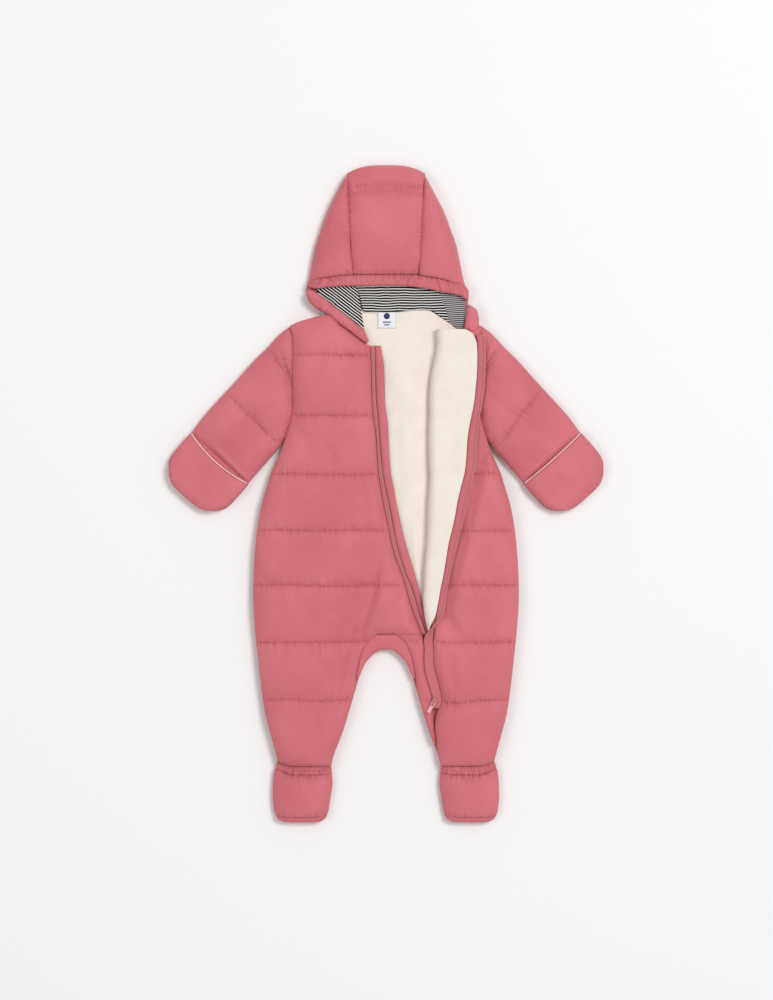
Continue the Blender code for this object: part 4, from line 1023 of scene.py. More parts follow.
def gathered(along, share, seed, height=1.5, pitch=3.1):
    """Uneven gathers across a narrow casing, strongest in its middle."""
    strength = 0.55 + 0.45 * noise(along / 12, 1.0, seed)
    fold = noise(along / pitch + 0.6 * noise(along / 21, share * 2, seed + 2), share * 0.9, seed + 1)
    return height * strength * (1.6 * np.sqrt(np.abs(fold)) - 1)


def make_hood_casing():
    """Gathered channel round the face: over the brow, down the right, and its end at the collar."""
    def brow(z_edge, z_middle, top):
        def place(x, share):
            y = mix(read(BROW, 1, x), brow_stitch(x), share)
            round_up = dome(np.minimum(share, 1 - share), 0.5)
            ends = dome(np.minimum(x + 86, 92.5 - x) + 0.4, 6)
            middle = (read(BROW, 1, x) + brow_stitch(x)) / 2
            y = middle + (y - middle) * mix(0.3, 1, ends)
            z = z_edge + (z_middle - z_edge) * round_up * (0.5 + 0.5 * ends)
            if top:
                gathers = gathered(x, share, 601, 2.9, 3.6) * (0.35 + 0.65 * round_up)
                y = y + 0.5 * gathers * np.where(share < 0.5, -1, 0.2)
                z = z + gathers + 0.5
            return x + 0 * share, y, z
        return place

    padded_shell(wall("hood_casing_brow", refine([-86, 92.5], 0.7), refine([0, 1], 1 / 12),
                      brow(17.3, CASING_TOP + 0.8, True), brow(CASING_BOTTOM, CASING_BOTTOM, False),
                      puckers=line_puckers((BROW_LINE,), 2.2)))

    table = by_index(CASING_RIGHT)

    def lip(z_edge, z_middle, top):
        def place(station, share):
            x, y, free_x, free_y = (read(table, column, station) for column in (1, 2, 3, 4))
            round_up = dome(np.minimum(share, 1 - share), 0.5)
            z = mix(z_edge, z_middle, round_up) + 0 * station
            if top:
                z = z + gathered(station * 11.5, share, 611, 2.0, 3.2) * (0.3 + 0.7 * round_up) + 0.4
            return mix(x, free_x, share), mix(y, free_y, share), z
        return place

    padded_shell(wall("hood_casing_right", refine([0, len(table) - 1], 0.1), refine([0, 1], 1 / 12),
                      lip(14.8, CASING_TOP + 1, True), lip(CASING_BOTTOM, CASING_BOTTOM, False),
                      puckers=line_puckers(([row[:2] for row in CASING_RIGHT],), 1.6)))

    def end(top):
        def place(down, across):
            near_x, near_y, far_x, far_y = (read(COLLAR_END, column, down) for column in (1, 2, 3, 4))
            x, y = mix(near_x, far_x, across), mix(near_y, far_y, across)
            if not top:
                return x, y, CASING_BOTTOM + 0 * x
            round_up = dome(np.minimum(across, 1 - across) * 14 + 0.6, 6) * dome(down * 26 + 1.5, 7)
            return x, y, mix(13.6, CASING_TOP + 0.6, round_up) + gathered(down * 26, across * 2, 621, 0.9)
        return place

    around, down = refine([0, 1], 1 / 26), refine([0, 1], 1 / 14)
    padded_shell(wall("hood_casing_left", around, down, end(True), end(False)))


def make_hood_lining():
    """The three striped pieces that show inside the hood."""
    for number, (name, low_start, high_start, low_end, high_end, lower_edge) in enumerate(STRIPED_PIECES):
        edge = np.array(lower_edge, float)

        def placed(top):
            def place(across, share):
                low_x = mix(low_start, low_end, across)
                x = mix(low_x, mix(high_start, high_end, across), share)
                tucked = 0.5 if name != "hood_lining_centre" else 0.0
                upper = np.minimum(LINING_HIDDEN_TOP, brow_stitch(x) - 3)
                y = mix(read(edge, 1, low_x) - LINING_TUCK, upper, share)
                if not top:
                    return x, y, STRIPE_BOTTOM - tucked + 0 * x
                to_sides, to_ends = np.minimum(across, 1 - across) * 40, np.minimum(share, 1 - share) * 30
                inside = dome(np.minimum(to_sides, to_ends), 6)
                creases = noise(x / 12, y / 19, 640 + number) + 0.5 * noise((x - y) / 9, y / 14, 650 + number)
                return x, y, STRIPE_TOP - 0.4 - tucked + inside * np.clip(0.35 * creases, -0.5, 0.55)
            return place

        lining = wall(name, refine([0, 1], 1 / 48), refine([0, 1], 1 / 26), placed(True), placed(False))
        dress(lining, STRIPES[name], [name])


LABEL_TOP = 11.0
# Height and width of the bars printed under the round mark
LABEL_BARS = ((192.6, 9.0), (189.6, 6.0))


def make_neck_label():
    """White satin label with a plain round mark and two bars, no lettering."""
    ink = LABEL_TOP + 0.3

    def placed(top):
        def place(x, y):
            lift = 0.18 * noise(x / 9, y / 11, 67) if top else 0
            return x + 0 * y, y + 0 * x, (LABEL_TOP if top else LINING_TOP + SEAM_GAP) + lift + 0 * x * y
        return place

    label = wall("neck_label", refine([-9, 11], 1.0), refine([186, 206], 1.0), placed(True), placed(False))
    dress(label, LABEL_SATIN, ["neck_label"])

    bm = bmesh.new()
    bmesh.ops.create_circle(bm, cap_ends=True, segments=32, radius=3.4 * MM,
                            matrix=Matrix.Translation(Vector((1, 199.4, ink)) * MM))
    for y, width in LABEL_BARS:
        size = Matrix.Diagonal((width * MM, 1.1 * MM, 1, 1))
        bmesh.ops.create_grid(bm, x_segments=1, y_segments=1, size=0.5,
                              matrix=Matrix.Translation(Vector((1, y, ink)) * MM) @ size)
    for item in bmesh.ops.extrude_face_region(bm, geom=bm.faces[:])["geom"]:
        if isinstance(item, bmesh.types.BMVert):
            item.co.z += 0.12 * MM
    mesh = bpy.data.meshes.new("neck_label_mark")
    bm.to_mesh(mesh)
    bm.free()
    mark = finished("neck_label_mark", mesh)
    dress(mark, LABEL_INK, [])


# Sleeves and mitts -------------------------------------------------------------------------

def tube_swell(share):
    """Rounded height of a pressed tube across its width."""
    return (1 - np.abs(2 * share - 1) ** 3) ** 0.5


def ring_share(column, columns):
    """Share across a pressed tube, and which of its two faces a ring column lies on."""
    angle = 2 * math.pi * column / columns
    return 0.5 + 0.5 * np.cos(angle), np.where(np.sin(angle) >= -1e-9, 1, -1)


SLEEVE_COLUMNS = 150
# Share of the way down a sleeve where the mitt cover lies over it
CUFF_SLIT = 0.905
# Quilting lines of each sleeve, from its upper edge to its lower one
SLEEVE_QUILTS = {
    "right": (((-136, 170), (-131, 163), (-125, 155), (-120, 147), (-110, 133), (-106, 126), (-100, 118)),
              ((-186, 120), (-178, 112), (-170, 105), (-160, 94), (-147, 82), (-133, 68), (-121, 58),
               (-112, 50))),
    "left": (((136, 174), (130, 167), (121, 158), (112, 142), (104, 130)),
             ((178, 121), (170, 113), (160, 99), (150, 87), (140, 72), (130, 58), (120, 50), (112, 42)))}


def sleeve_point(share, down):
    """Point of a right-hand sleeve, from its lower to its upper edge, that starts on the curved armhole."""
    upper_x, upper_y, lower_x, lower_y = (read(SLEEVE, column, down) for column in (1, 2, 3, 4))
    arm_edge = read(BODY_EDGE, 1, mix(61, 188, share)) - SEAM_LAP
    ease = np.maximum(0, 1 - down / 0.3) ** 2
    x = mix(lower_x, upper_x, share) + (arm_edge - mix(113.9, 108, share)) * ease
    return x, mix(lower_y, upper_y, share)


def make_sleeve(hand, side):
    """Quilted sleeve pressed flat, puffed out where the mitt cover holds it."""
    seed = 700 + 40 * side

    def placed(outer):
        def place(column, down):
            share, face = ring_share(column, SLEEVE_COLUMNS)
            swell = tube_swell(share)
            if not outer:
                x, y = sleeve_point(0.5 + (share - 0.5) * 0.88, down)
                return side * x, y, SLEEVE_SEAM_Z + np.where(face > 0, 1.0, -0.6) * np.minimum(1, 2 * swell)
            x, y = sleeve_point(share, down)
            top = mix(SLEEVE_SEAM_Z, read(SLEEVE, 5, down), swell)
            lost = np.zeros(np.shape(x))
            for index, line in enumerate(SLEEVE_QUILTS[hand]):
                distance, along, edge = polyline_distance(side * x, y, line)
                lost = np.maximum(lost, stitched(distance, along, edge, seed + index, depth=5.0))
            cuff = stitched((1 - down) * 150, share * 84, 1.0, seed + 7, depth=1.5, reach=16, pucker=1.5)
            seam = stitched(down * 150, share * 125, 1.0, seed + 9, depth=1.0, reach=12, pucker=0.8)
            lost = np.maximum(lost, np.maximum(cuff, seam))
            uneven = 0.75 + 0.35 * noise(share * 7, 0.5, seed + 12)
            spill = 3.6 * uneven * np.exp(-((down - 0.868) / 0.024) ** 2) * smooth_step(1 - share, 0.1, 0.45)
            slit = 1.6 * np.exp(-((down - CUFF_SLIT) / 0.012) ** 2)
            lost = lost - spill * smooth_step(share, 0.0, 0.12) + slit
            creases = 1.7 * soft_creases(x * 0.8 + y * 0.6, y * 0.8 - x * 0.6, seed + 20)
            relief = swell ** 1.5 * (creases + 1.2 - lost)
            under = SLEEVE_SEAM_Z * (1 - np.minimum(1, 1.35 * swell))
            under = under + 0.8 * np.clip(lost - 2.2, 0, 4) * swell
            return side * x, y, np.where(face > 0, top + relief, under)
        return place

    rows = np.concatenate([refine([0, 0.82], 1 / 62), refine([0.827, 0.93], 0.006), refine([0.94, 1], 0.015)])
    cuff_line = [sleeve_point(share, CUFF_SLIT) for share in (0, 0.5, 1)]
    lines = (*SLEEVE_QUILTS[hand], [(side * float(x), float(y)) for x, y in cuff_line],
             [(side * (float(read(BODY_EDGE, 1, y)) + 0.4), y) for y in (188, 172, 142, 101, 75, 61)])
    columns = range(SLEEVE_COLUMNS + 1)
    padded_shell(wall(f"sleeve_{hand}", columns, rows, placed(True), placed(False), ring=True,
                      puckers=line_puckers(lines, 1.0)))


CUFF_UPPER = Vector((219, 67.5))
CUFF_LOWER = Vector((155, 10.5))
CUFF_MIDDLE = (CUFF_UPPER + CUFF_LOWER) / 2
CUFF_ACROSS = (CUFF_UPPER - CUFF_LOWER).normalized()
CUFF_OUTWARD = Vector((CUFF_ACROSS.y, -CUFF_ACROSS.x))


def mitt_place(side, across, outward):
    """Place on a hand, from the middle of its cuff: across it and out towards the fingertips."""
    x = CUFF_MIDDLE.x + CUFF_ACROSS.x * across + CUFF_OUTWARD.x * outward
    y = CUFF_MIDDLE.y + CUFF_ACROSS.y * across + CUFF_OUTWARD.y * outward
    return side * x, y


def make_piping(name, points):
    """Round corded edging through a line of points, with closed ends."""
    curve = bpy.data.curves.new(name, "CURVE")
    curve.dimensions = "3D"
    curve.bevel_depth = PIPING_RADIUS * MM
    curve.bevel_resolution = 3
    curve.use_fill_caps = True
    line = curve.splines.new("POLY")
    line.points.add(len(points) - 1)
    for point, (x, y, z) in zip(line.points, points):
        point.co = (x * MM, y * MM, z * MM, 1)
    draft = bpy.data.objects.new(name + "_draft", curve)
    mesh = bpy.data.meshes.new_from_object(draft)
    bpy.data.objects.remove(draft)
    bpy.data.curves.remove(curve)
    dress(finished(f"{name}_cord", mesh), PIPING, [name])


def make_mitt(hand, side):
    """Mitt back, the cover folded over it, and the cover's corded edge."""
    seed = 800 + 30 * side

    def outline(p, q, start):
        across = MITT_HALF_WIDTH * p * (1 - MITT_CORNER * q ** 5)
        end = MITT_DEPTH * (1 - MITT_CORNER * p ** 4)
        return across, mix(start, end, q)

    def rim_distance(p, q):
        return np.minimum((1 - np.abs(p)) * MITT_HALF_WIDTH, (1 - q) * MITT_DEPTH)

    def back(outer):
        def place(p, q):
            across, outward = outline(p, q, MITT_OVERLAP + SEAM_GAP)
            z = MITT_BACK_TOP if outer else mix(4.4, 0, dome(rim_distance(p, q), 12))
            return *mitt_place(side, across, outward), z + 0 * p * q
        return place

    stations, depth = refine([-1, 0, 1], 1 / 26), refine([0, 1], 1 / 34)
    padded_shell(wall(f"mitt_back_{hand}", stations, depth, back(True), back(False)))

    def cover_edge(p):
        return MITT_COVER_BOW[hand] * (1 - p * p)

    bottom_rim = MITT_BACK_TOP + SEAM_GAP

    def cover(outer):
        def place(p, q):
            across, outward = outline(p, q, cover_edge(p))
            distance = rim_distance(p, q)
            if not outer:
                z = mix(bottom_rim, MITT_COVER_BOTTOM, dome(distance, 12))
                return *mitt_place(side, across, outward), z
            z = mix(bottom_rim + 3.2, MITT_COVER_BOTTOM + MITT_COVER_RISE, dome(distance, 14))
            around = np.where(np.abs(p) * 1.2 > q, outward, across)
            pucker = noise(around / 4.2, distance / 14, seed) * np.exp(-distance / 7)
            crease = 1.5 * soft_creases(across * 1.4, outward * 1.4, seed + 5) * dome(distance, 10)
            edge = 1.6 * (1 - dome(q * 50 + 1, 9))
            return *mitt_place(side, across, outward), z + 0.8 * pucker + crease + 0.8 - edge
        return place

    rim = [mitt_place(side, *outline(p, q, 0.0)) for p, q in
           [(-1, share) for share in (0.05, 0.4, 0.7, 0.9)] + [(p, 1) for p in (-0.9, -0.5, 0, 0.5, 0.9)]
           + [(1, share) for share in (0.9, 0.7, 0.4, 0.05)]]
    padded_shell(wall(f"mitt_cover_{hand}", stations, depth, cover(True), cover(False),
                      puckers=line_puckers((rim,), 0.8)))

    points = []
    for p in np.linspace(-0.95, 0.95, 49):
        x, y = mitt_place(side, MITT_HALF_WIDTH * p, cover_edge(p) - PIPING_SETBACK)
        sway = 0.35 * float(noise(p * 7, 0.5, seed + 9))
        points.append((x, y, mix(13.4, 16.4, float(dome((1 - abs(p)) * MITT_HALF_WIDTH, 12))) + sway))
    make_piping(f"mitt_piping_{hand}", points)


# Ankles and booties ------------------------------------------------------------------------

FOOT_COLUMNS = 180


def make_foot(foot, side):
    """Ankle band, bootie and the strip that closes its toe."""
    seed = 900 + 30 * side
    foot_lines = ([(side * x, y - 0.5) for x, y in LEG_END_EDGE],
                  [(side * x, y) for x, y in ANKLE_LOWER_EDGE],
                  [(side * x, SOLE_SEAM) for x in (62, 125)])

    def tube(name, top, inner_x, outer_x, row_y, rows, relief):
        def placed(outer):
            def place(column, down):
                share, face = ring_share(column, FOOT_COLUMNS)
                if not outer:
                    share = 0.5 + (share - 0.5) * 0.86
                swell = tube_swell(share)
                x = mix(inner_x(down), outer_x(down), share)
                if outer:
                    upper = mix(FOOT_SEAM_Z, top, swell) + relief(x, down) * swell
                    z = np.where(face > 0, upper, FOOT_SEAM_Z * (1 - np.minimum(1, 1.35 * swell)))
                else:
                    z = FOOT_SEAM_Z + face * 0.9 * np.minimum(1, 2 * swell)
                return side * x, row_y(x, down), z
            return place

        padded_shell(wall(name, range(FOOT_COLUMNS + 1), rows, placed(True), placed(False), ring=True,
                          puckers=line_puckers(foot_lines, 2.0)))

    def ankle_y(x, down):
        return mix(read(LEG_END_EDGE, 1, x) + SEAM_LAP, read(ANKLE_LOWER_EDGE, 1, x), down)

    tube(f"ankle_band_{foot}", ANKLE_TOP, lambda down: mix(61.3, 60.8, down),
         lambda down: mix(121.5, 124.4, down), ankle_y, refine([0, 1], 1 / 10),
         lambda x, down: gathered(x, down, seed, 2.6, 3.2) - 1.6 * np.abs(2 * down - 1) ** 3 + 0.6)

    def bootie_y(x, down):
        return mix(read(ANKLE_LOWER_EDGE, 1, x) + SEAM_LAP, SOLE_SEAM, down)

    def foot_edge(column):
        return lambda down: read(FOOT, column, mix(FOOT[0, 0], SOLE_SEAM, down))

    def bootie_relief(x, down):
        top_gathers = gathered(x, down, seed + 3, 2.0, 3.4) * np.exp(-down * 6)
        toe_gathers = gathered(x, down, seed + 5, 1.5, 4.2) * np.exp(-(1 - down) * 8)
        ends = 2.6 * (1 - dome(down * 48 + 0.6, 12)) + 1.6 * (1 - dome((1 - down) * 48 + 0.6, 9))
        return 1.8 * soft_creases(x, down * 50, seed + 8) + top_gathers + toe_gathers - ends + 1.2

    tube(f"bootie_{foot}", BOOTIE_TOP, foot_edge(1), foot_edge(2), bootie_y, refine([0, 1], 1 / 30),
         bootie_relief)

    def sole(top):
        def place(share, down):
            inner, outer = mix(67.2, 75, down ** 2), mix(122.6, 114, down ** 2)
            swell = tube_swell(mix(0.08, 0.92, share)) * mix(1, 0.75, down)
            x = mix(inner, outer, share)
            if top:
                gathers = gathered(x, down, seed + 5, 1.2, 4.2) * (1 - down)
                z = mix(FOOT_SEAM_Z, BOOTIE_TOP - 1.4, swell) + gathers
            else:
                z = FOOT_SEAM_Z * (1 - np.minimum(1, 1.5 * swell))
            return side * x, mix(SOLE_SEAM + SEAM_LAP, SOLE_END, down), z
        return place

    padded_shell(wall(f"bootie_sole_{foot}", refine([0, 1], 1 / 40), refine([0, 1], 1 / 6), sole(True),
                      sole(False)))


# Stitches ----------------------------------------------------------------------------------

STITCH_PITCH = 3.0


def make_stitches(name, lines):
    """Rows of stitches as short round bars that lie on the cloth under them.

    Each line is a list of x and y.  The cloth's height is read from the pieces below it.
    """
    depsgraph = bpy.context.evaluated_depsgraph_get()
    depsgraph.update()
    scene = bpy.context.scene
    bm = bmesh.new()
    for line in lines:
        travelled, due = 0.0, 0.0
        for (x0, y0), (x1, y1) in zip(line, line[1:]):
            length = math.hypot(x1 - x0, y1 - y0)
            while due <= travelled + length:
                share = (due - travelled) / length
                ends = []
                for reach in (-0.9, 0.9):
                    x = mix(x0, x1, share) + reach * (x1 - x0) / length
                    y = mix(y0, y1, share) + reach * (y1 - y0) / length
                    hit = scene.ray_cast(depsgraph, Vector((x * MM, y * MM, 0.2)), Vector((0, 0, -1)))
                    if hit[0]:
                        ends.append(hit[1] + Vector((0, 0, 0.05 * MM)))
                if len(ends) == 2 and abs(ends[0].z - ends[1].z) < 1.2 * MM:
                    add_bar(bm, ends[0], ends[1], 0.27 * MM)
                due += STITCH_PITCH
            travelled += length
    mesh = bpy.data.meshes.new(name)
    bm.to_mesh(mesh)
    bm.free()
    dress(finished(name, mesh), THREAD, [])


def add_bar(bm, start, end, radius):
    """Adds a short six-sided bar between two points."""
    direction = end - start
    turn = direction.to_track_quat("Z", "Y").to_matrix().to_4x4()
    bmesh.ops.create_cone(bm, cap_ends=True, segments=6, radius1=radius, radius2=radius,
                          depth=direction.length, matrix=Matrix.Translation((start + end) / 2) @ turn)


# Materials ---------------------------------------------------------------------------------

def linear(hex_colour):
    """sRGB hex colour as linear red, green, blue and alpha."""
    channels = [int(hex_colour[place:place + 2], 16) / 255 for place in (0, 2, 4)]
    return [((c + 0.055) / 1.055) ** 2.4 if c > 0.04045 else c / 12.92 for c in channels] + [1]


def add_node(tree, kind, settings=None, inputs=None):
    """Adds a shader node with its settings, and fills or links its inputs."""
    made = tree.nodes.new(kind)
    for name, value in (settings or {}).items():
        setattr(made, name, value)
    for key, value in (inputs or {}).items():
        if isinstance(value, bpy.types.NodeSocket):
            tree.links.new(value, made.inputs[key])
        else:
            made.inputs[key].default_value = value
    return made


def new_material(name, roughness, **constants):
    """Material with its shader's constants set.  Gives the tree, its shader and the object coordinates."""
    material = bpy.data.materials.new(name)
    material.use_nodes = True
    tree = material.node_tree
    shader = tree.nodes["Principled BSDF"]
    shader.inputs["Roughness"].default_value = roughness
    for key, value in constants.items():
        shader.inputs[key.replace("_", " ")].default_value = value
    place = add_node(tree, "ShaderNodeTexCoord").outputs["Object"]
    return material, tree, shader, place


def tone(tree, place, dark, light, scale, detail=3.0):
    """Slow change between two colours."""
    cloud = add_node(tree, "ShaderNodeTexNoise", inputs={"Vector": place, "Scale": scale, "Detail": detail})
    ramp = add_node(tree, "ShaderNodeMapRange",
                    inputs={"Value": cloud.outputs["Fac"], "From Min": 0.3, "From Max": 0.7})
    return add_node(tree, "ShaderNodeMix", {"data_type": "RGBA"},
                    {0: ramp.outputs["Result"], 6: linear(dark), 7: linear(light)}).outputs[2]


def bump(tree, height, distance, strength, below=None):
    inputs = {"Height": height, "Distance": distance, "Strength": strength}
    if below is not None:
        inputs["Normal"] = below
    return add_node(tree, "ShaderNodeBump", inputs=inputs).outputs["Normal"]


def math_node(tree, operation, first, second=0.0):
    return add_node(tree, "ShaderNodeMath", {"operation": operation}, {0: first, 1: second}).outputs[0]


def pucker_height(tree):
    """Sharp short creases that cross a stitched line and fade within 8 mm of it."""
    place = add_node(tree, "ShaderNodeAttribute", {"attribute_name": "puckers"}).outputs["Vector"]
    split = add_node(tree, "ShaderNodeSeparateXYZ", inputs={"Vector": place})
    along, across, strength = (split.outputs[axis] for axis in "XYZ")
    grain = add_node(tree, "ShaderNodeCombineXYZ", inputs={
        "X": math_node(tree, "MULTIPLY", along, 0.2), "Y": math_node(tree, "MULTIPLY", across, 0.045)})
    crease = add_node(tree, "ShaderNodeTexNoise", inputs={
        "Vector": grain.outputs["Vector"], "Scale": 1.0, "Detail": 2.0, "Distortion": 0.5})
    middle = math_node(tree, "ABSOLUTE", math_node(tree, "SUBTRACT", crease.outputs["Fac"], 0.5))
    ridge = math_node(tree, "MINIMUM", math_node(tree, "MULTIPLY", middle, 7.0), 1.0)
    distance = math_node(tree, "ABSOLUTE", across)
    fade = math_node(tree, "EXPONENT", math_node(tree, "MULTIPLY", distance, -0.2))
    return math_node(tree, "MULTIPLY", ridge, math_node(tree, "MULTIPLY", fade, strength))


def woven_nylon(name, dark, light, crinkle=1.0):
    """Down-proof nylon: a close weave, fine crinkles, a soft sheen.

    The real weave is about 0.1 mm, too fine to show, so it is drawn at 0.8 mm.
    """
    material, tree, shader, place = new_material(
        name, 0.62, Sheen_Weight=0.25, Sheen_Roughness=0.45, Specular_IOR_Level=0.32)
    tree.links.new(tone(tree, place, dark, light, 16.0), shader.inputs["Base Color"])
    creases = add_node(tree, "ShaderNodeTexNoise",
                       inputs={"Vector": place, "Scale": 150.0, "Detail": 4.0, "Distortion": 0.6})
    fine = add_node(tree, "ShaderNodeTexNoise",
                    inputs={"Vector": place, "Scale": 620.0, "Detail": 2.0, "Distortion": 0.2})
    weave = add_node(tree, "ShaderNodeTexVoronoi", {"distance": "CHEBYCHEV"},
                     {"Vector": place, "Scale": 1250.0, "Randomness": 0.2})
    normal = bump(tree, creases.outputs["Fac"], 0.0011 * crinkle, 0.75)
    normal = bump(tree, fine.outputs["Fac"], 0.0003 * crinkle, 0.7, normal)
    normal = bump(tree, weave.outputs["Distance"], 0.00008, 0.45, normal)
    normal = bump(tree, pucker_height(tree), 0.0011, 0.9, normal)
    tree.links.new(normal, shader.inputs["Normal"])
    return material


def fleece(name, dark, light):
    """Short brushed pile: tufts of about 1.5 mm and a strong soft sheen."""
    material, tree, shader, place = new_material(
        name, 0.95, Sheen_Weight=0.5, Sheen_Roughness=0.6, Specular_IOR_Level=0.15)
    tree.links.new(tone(tree, place, dark, light, 60.0, 5.0), shader.inputs["Base Color"])
    tufts = add_node(tree, "ShaderNodeTexNoise",
                     inputs={"Vector": place, "Scale": 480.0, "Detail": 6.0, "Roughness": 0.7,
                             "Distortion": 0.8})
    normal = bump(tree, tufts.outputs["Fac"], 0.0008, 0.7)
    broad = add_node(tree, "ShaderNodeTexNoise", inputs={"Vector": place, "Scale": 90.0, "Detail": 3.0})
    tree.links.new(bump(tree, broad.outputs["Fac"], 0.0008, 0.4, normal), shader.inputs["Normal"])
    return material


def striped_jersey(name, turn_degrees, dark, light, pitch, sway):
    """Knitted jersey with stripes across it, and the soft edge a dyed yarn has. The dark bands take about two
    thirds of each pitch: the stripes are the jersey's own, and the extra width of dark is painted shade
    inside the hood.
    """
    material, tree, shader, place = new_material(name, 0.95, Specular_IOR_Level=0.1)
    turned = add_node(tree, "ShaderNodeMapping",
                      inputs={"Vector": place, "Rotation": (0, 0, math.radians(turn_degrees))})
    wander = add_node(tree, "ShaderNodeTexNoise", inputs={"Vector": place, "Scale": 55.0, "Detail": 1.0})
    drift = math_node(tree, "MULTIPLY", wander.outputs["Fac"], sway * MM)
    split = add_node(tree, "ShaderNodeSeparateXYZ", inputs={"Vector": turned.outputs["Vector"]})
    across = math_node(tree, "ADD", split.outputs["Y"], drift)
    wave = math_node(tree, "SINE", math_node(tree, "MULTIPLY", across, 2 * math.pi / (pitch * MM)))
    # Dark wherever the sine is above about -0.5, so the dark bands are widened as painted shade
    band = add_node(tree, "ShaderNodeMapRange", inputs={"Value": wave, "From Min": -0.65, "From Max": -0.35})
    colour = add_node(tree, "ShaderNodeMix", {"data_type": "RGBA"},
                      {0: band.outputs["Result"], 6: linear(light), 7: linear(dark)})
    tree.links.new(colour.outputs[2], shader.inputs["Base Color"])
    knit = add_node(tree, "ShaderNodeTexNoise", inputs={"Vector": place, "Scale": 900.0, "Detail": 2.0})
    tree.links.new(bump(tree, knit.outputs["Fac"], 0.0003, 0.6), shader.inputs["Normal"])
    return material


def plain(name, colour, roughness, grain=0.0, scale=900.0, **constants):
    """One even colour, with a grain of the given height in mm where the finish has one."""
    material, tree, shader, place = new_material(name, roughness, **constants)
    shader.inputs["Base Color"].default_value = linear(colour)
    if grain:
        cloud = add_node(tree, "ShaderNodeTexNoise", inputs={"Vector": place, "Scale": scale, "Detail": 3.0})
        tree.links.new(bump(tree, cloud.outputs["Fac"], grain * MM, 0.6), shader.inputs["Normal"])
    return material


# Down-proof nylon over wadding: the eye sees soft broad highlights on every puff, and puckers at each seam
SHELL = woven_nylon("woven_nylon_dusty_rose", "CA6771", "D5737C")
# The same nylon with no wadding behind it, so its crinkles are flatter; its colour is a shade darker, as
# painted shade of its place under the right front's edge
GUARD_NYLON_PAINTED_SHADE = woven_nylon("woven_nylon_guard_painted_shade", "C4636D", "CE7079", 0.6)
# Brushed polyester: the pile scatters light, so the cream looks even and its folds stay soft
FLEECE_PILE = fleece("polyester_fleece_cream", "EFE4D7", "F4EBDF")
# Cotton jersey in near-black and off-white stripes of 2.9 mm, matt; on the left it is seen at a slant, so its
# stripes look finer and greyer
STRIPES = {
    "hood_lining_centre": striped_jersey("cotton_jersey_stripe_level", 0, "161722", "ECEAE4", 2.9, 3.0),
    "hood_lining_right": striped_jersey("cotton_jersey_stripe_slanting", 38, "161722", "ECEAE4", 2.9, 2.5),
    "hood_lining_left": striped_jersey("cotton_jersey_stripe_fine", 4, "4A4A56", "CFCBC6", 2.2, 1.5)}

# Covered cotton cord: pale and matt, so the mitt's edge reads as one thin light line
PIPING = plain("cotton_piping_cream", "F2DED2", 0.75, 0.2, 1200.0, Sheen_Weight=0.3)
# Close polyester ribbon: duller than the shell beside it
TAPE = plain("polyester_zip_tape_rose", "C76B74", 0.8, 0.25, 1400.0, Sheen_Weight=0.2)
# Moulded coil: smooth, so each tooth catches a small light
ZIP_TEETH = plain("polyester_coil_rose", "CE8689", 0.42)
# Woven satin: cool white and faintly glossy against the cream fleece
LABEL_SATIN = plain("polyester_satin_label", "E6E8EC", 0.5, 0.1, 1500.0)
# Flat navy print on the label
LABEL_INK = plain("printed_navy_mark", "2B3358", 0.6)
# Sewing thread, a little darker than the cloth, so the quilting lines show as fine dots
THREAD = plain("polyester_thread_rose", "B9565F", 0.6)
# Enamelled cast zinc: a smooth clear gloss, deeper on the slider; the pale colour of its pull tab is a
# painted highlight
SLIDER_ENAMEL = plain("enamelled_zinc_deep_rose", "C4747A", 0.32, Coat_Weight=0.5, Coat_Roughness=0.2)
PULL_ENAMEL_PAINTED_HIGHLIGHT = plain("enamelled_zinc_rose_painted_highlight", "E6A6A7", 0.28, Coat_Weight=0.6, Coat_Roughness=0.15)


# Stage -------------------------------------------------------------------------------------

WORLD_LIGHT = 0.49
# Soft lights: name, place in metres, diameter, watts
LIGHTS = (("key", (1.6, 1.1, 4.0), 1.6, 97.0), ("fill", (-2.2, -0.6, 3.8), 2.2, 25.0))
# The floor lies just under the cloth, so that their faces never share a plane
FLOOR_DROP = 0.3
CAMERA_PLACE = (0.0006, -0.00675, 3.125)


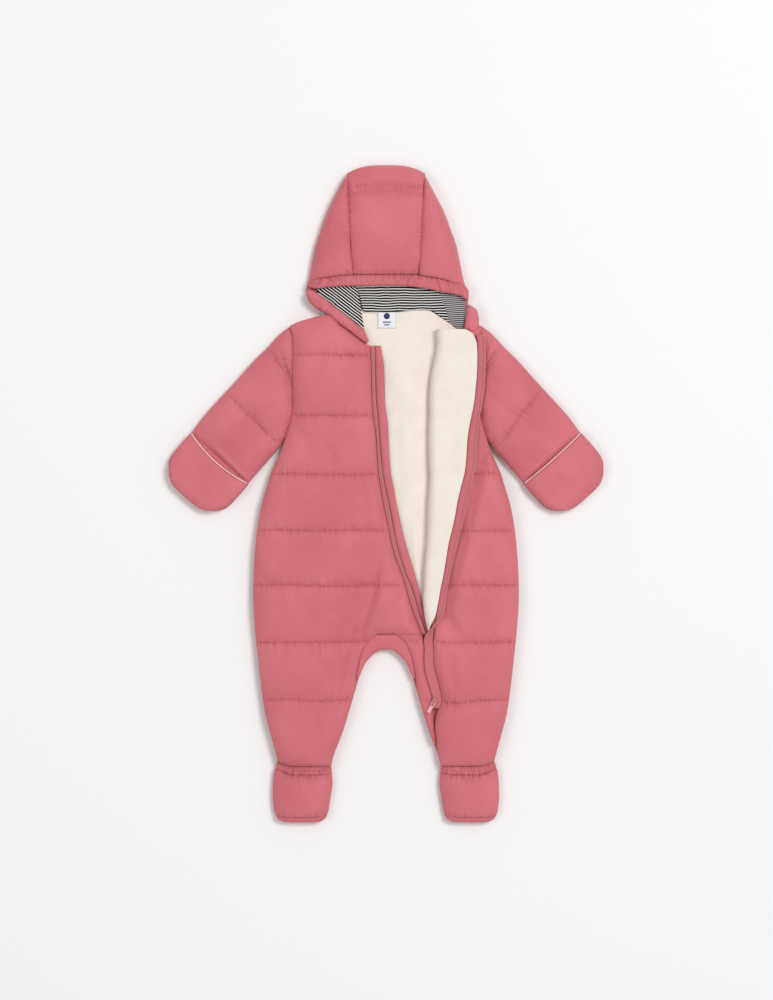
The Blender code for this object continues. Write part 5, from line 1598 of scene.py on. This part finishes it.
def make_stage():
    """Pale floor, two soft lights and the camera straight above."""
    bm = bmesh.new()
    bmesh.ops.create_grid(bm, x_segments=1, y_segments=1, size=6.0,
                          matrix=Matrix.Translation((0, 0, -FLOOR_DROP * MM)))
    mesh = bpy.data.meshes.new("floor")
    bm.to_mesh(mesh)
    bm.free()
    floor = finished("floor", mesh)
    # Painted board: matt and nearly white, so it only carries soft shadows
    floor.data.materials.append(plain("matt_white_board", "F5F5F5", 0.9))

    world = bpy.data.worlds.new("studio")
    world.use_nodes = True
    world.node_tree.nodes["Background"].inputs["Color"].default_value = (1, 1, 1, 1)
    world.node_tree.nodes["Background"].inputs["Strength"].default_value = WORLD_LIGHT
    bpy.context.scene.world = world
    bpy.context.scene.view_settings.view_transform = "Standard"

    for name, place, size, power in LIGHTS:
        light = bpy.data.lights.new(name, "AREA")
        light.shape = "DISK"
        light.size = size
        light.energy = power
        lamp = bpy.data.objects.new(name, light)
        lamp.location = place
        lamp.rotation_euler = (-Vector(place)).to_track_quat("-Z", "Y").to_euler()
        bpy.context.scene.collection.objects.link(lamp)

    camera = bpy.data.cameras.new("overhead")
    camera.lens = 100
    camera.sensor_width = 36
    camera.clip_end = 20
    view = bpy.data.objects.new("overhead", camera)
    view.location = CAMERA_PLACE
    bpy.context.scene.collection.objects.link(view)
    bpy.context.scene.camera = view


def front_stitch_lines():
    """Quilting lines on the fronts, as x and y."""
    lines = []
    for line in QUILT_Y:
        edge = float(read(BODY_EDGE, 1, line))
        inner = float(read(ZIP_RIGHT, 1, line)) if line > FRONT_FORK else -float(read(FORK_FRONT, 1, line))
        xs = np.arange(-edge + 3, inner - 1.5, 2.5)
        lines.append([(float(x), float(quilt_line_y(line, x, FRONT_SEED))) for x in xs])
        start = float(read(LEG_ZIP_EDGE, 1, line)) + 2 if line <= -174 else float(
            read(FOLD, 2, line) + read(FOLD, 3, line)) + 1.5
        xs = np.arange(start, edge - 3, 2.5)
        lines.append([(float(x), float(quilt_line_y(line, x, LEFT_SEED))) for x in xs])
    return [line for line in lines if len(line) > 2]


# Building it all ---------------------------------------------------------------------------

make_back()
make_front_right()
make_front_left()
make_front_left_lining()
make_back_lining()
make_crotch_gusset()
make_zip_right()
make_zip_left()
finish_pull()
make_hood_centre()
make_hood_casing()
make_hood_lining()
make_neck_label()
for hand, side in SIDES:
    make_hood_side(f"hood_side_{hand}", side)
    make_sleeve(hand, side)
    make_mitt(hand, side)
    make_foot(hand, side)
make_stitches("quilting_stitches", front_stitch_lines() + [*SLEEVE_QUILTS["right"], *SLEEVE_QUILTS["left"]])
make_stage()
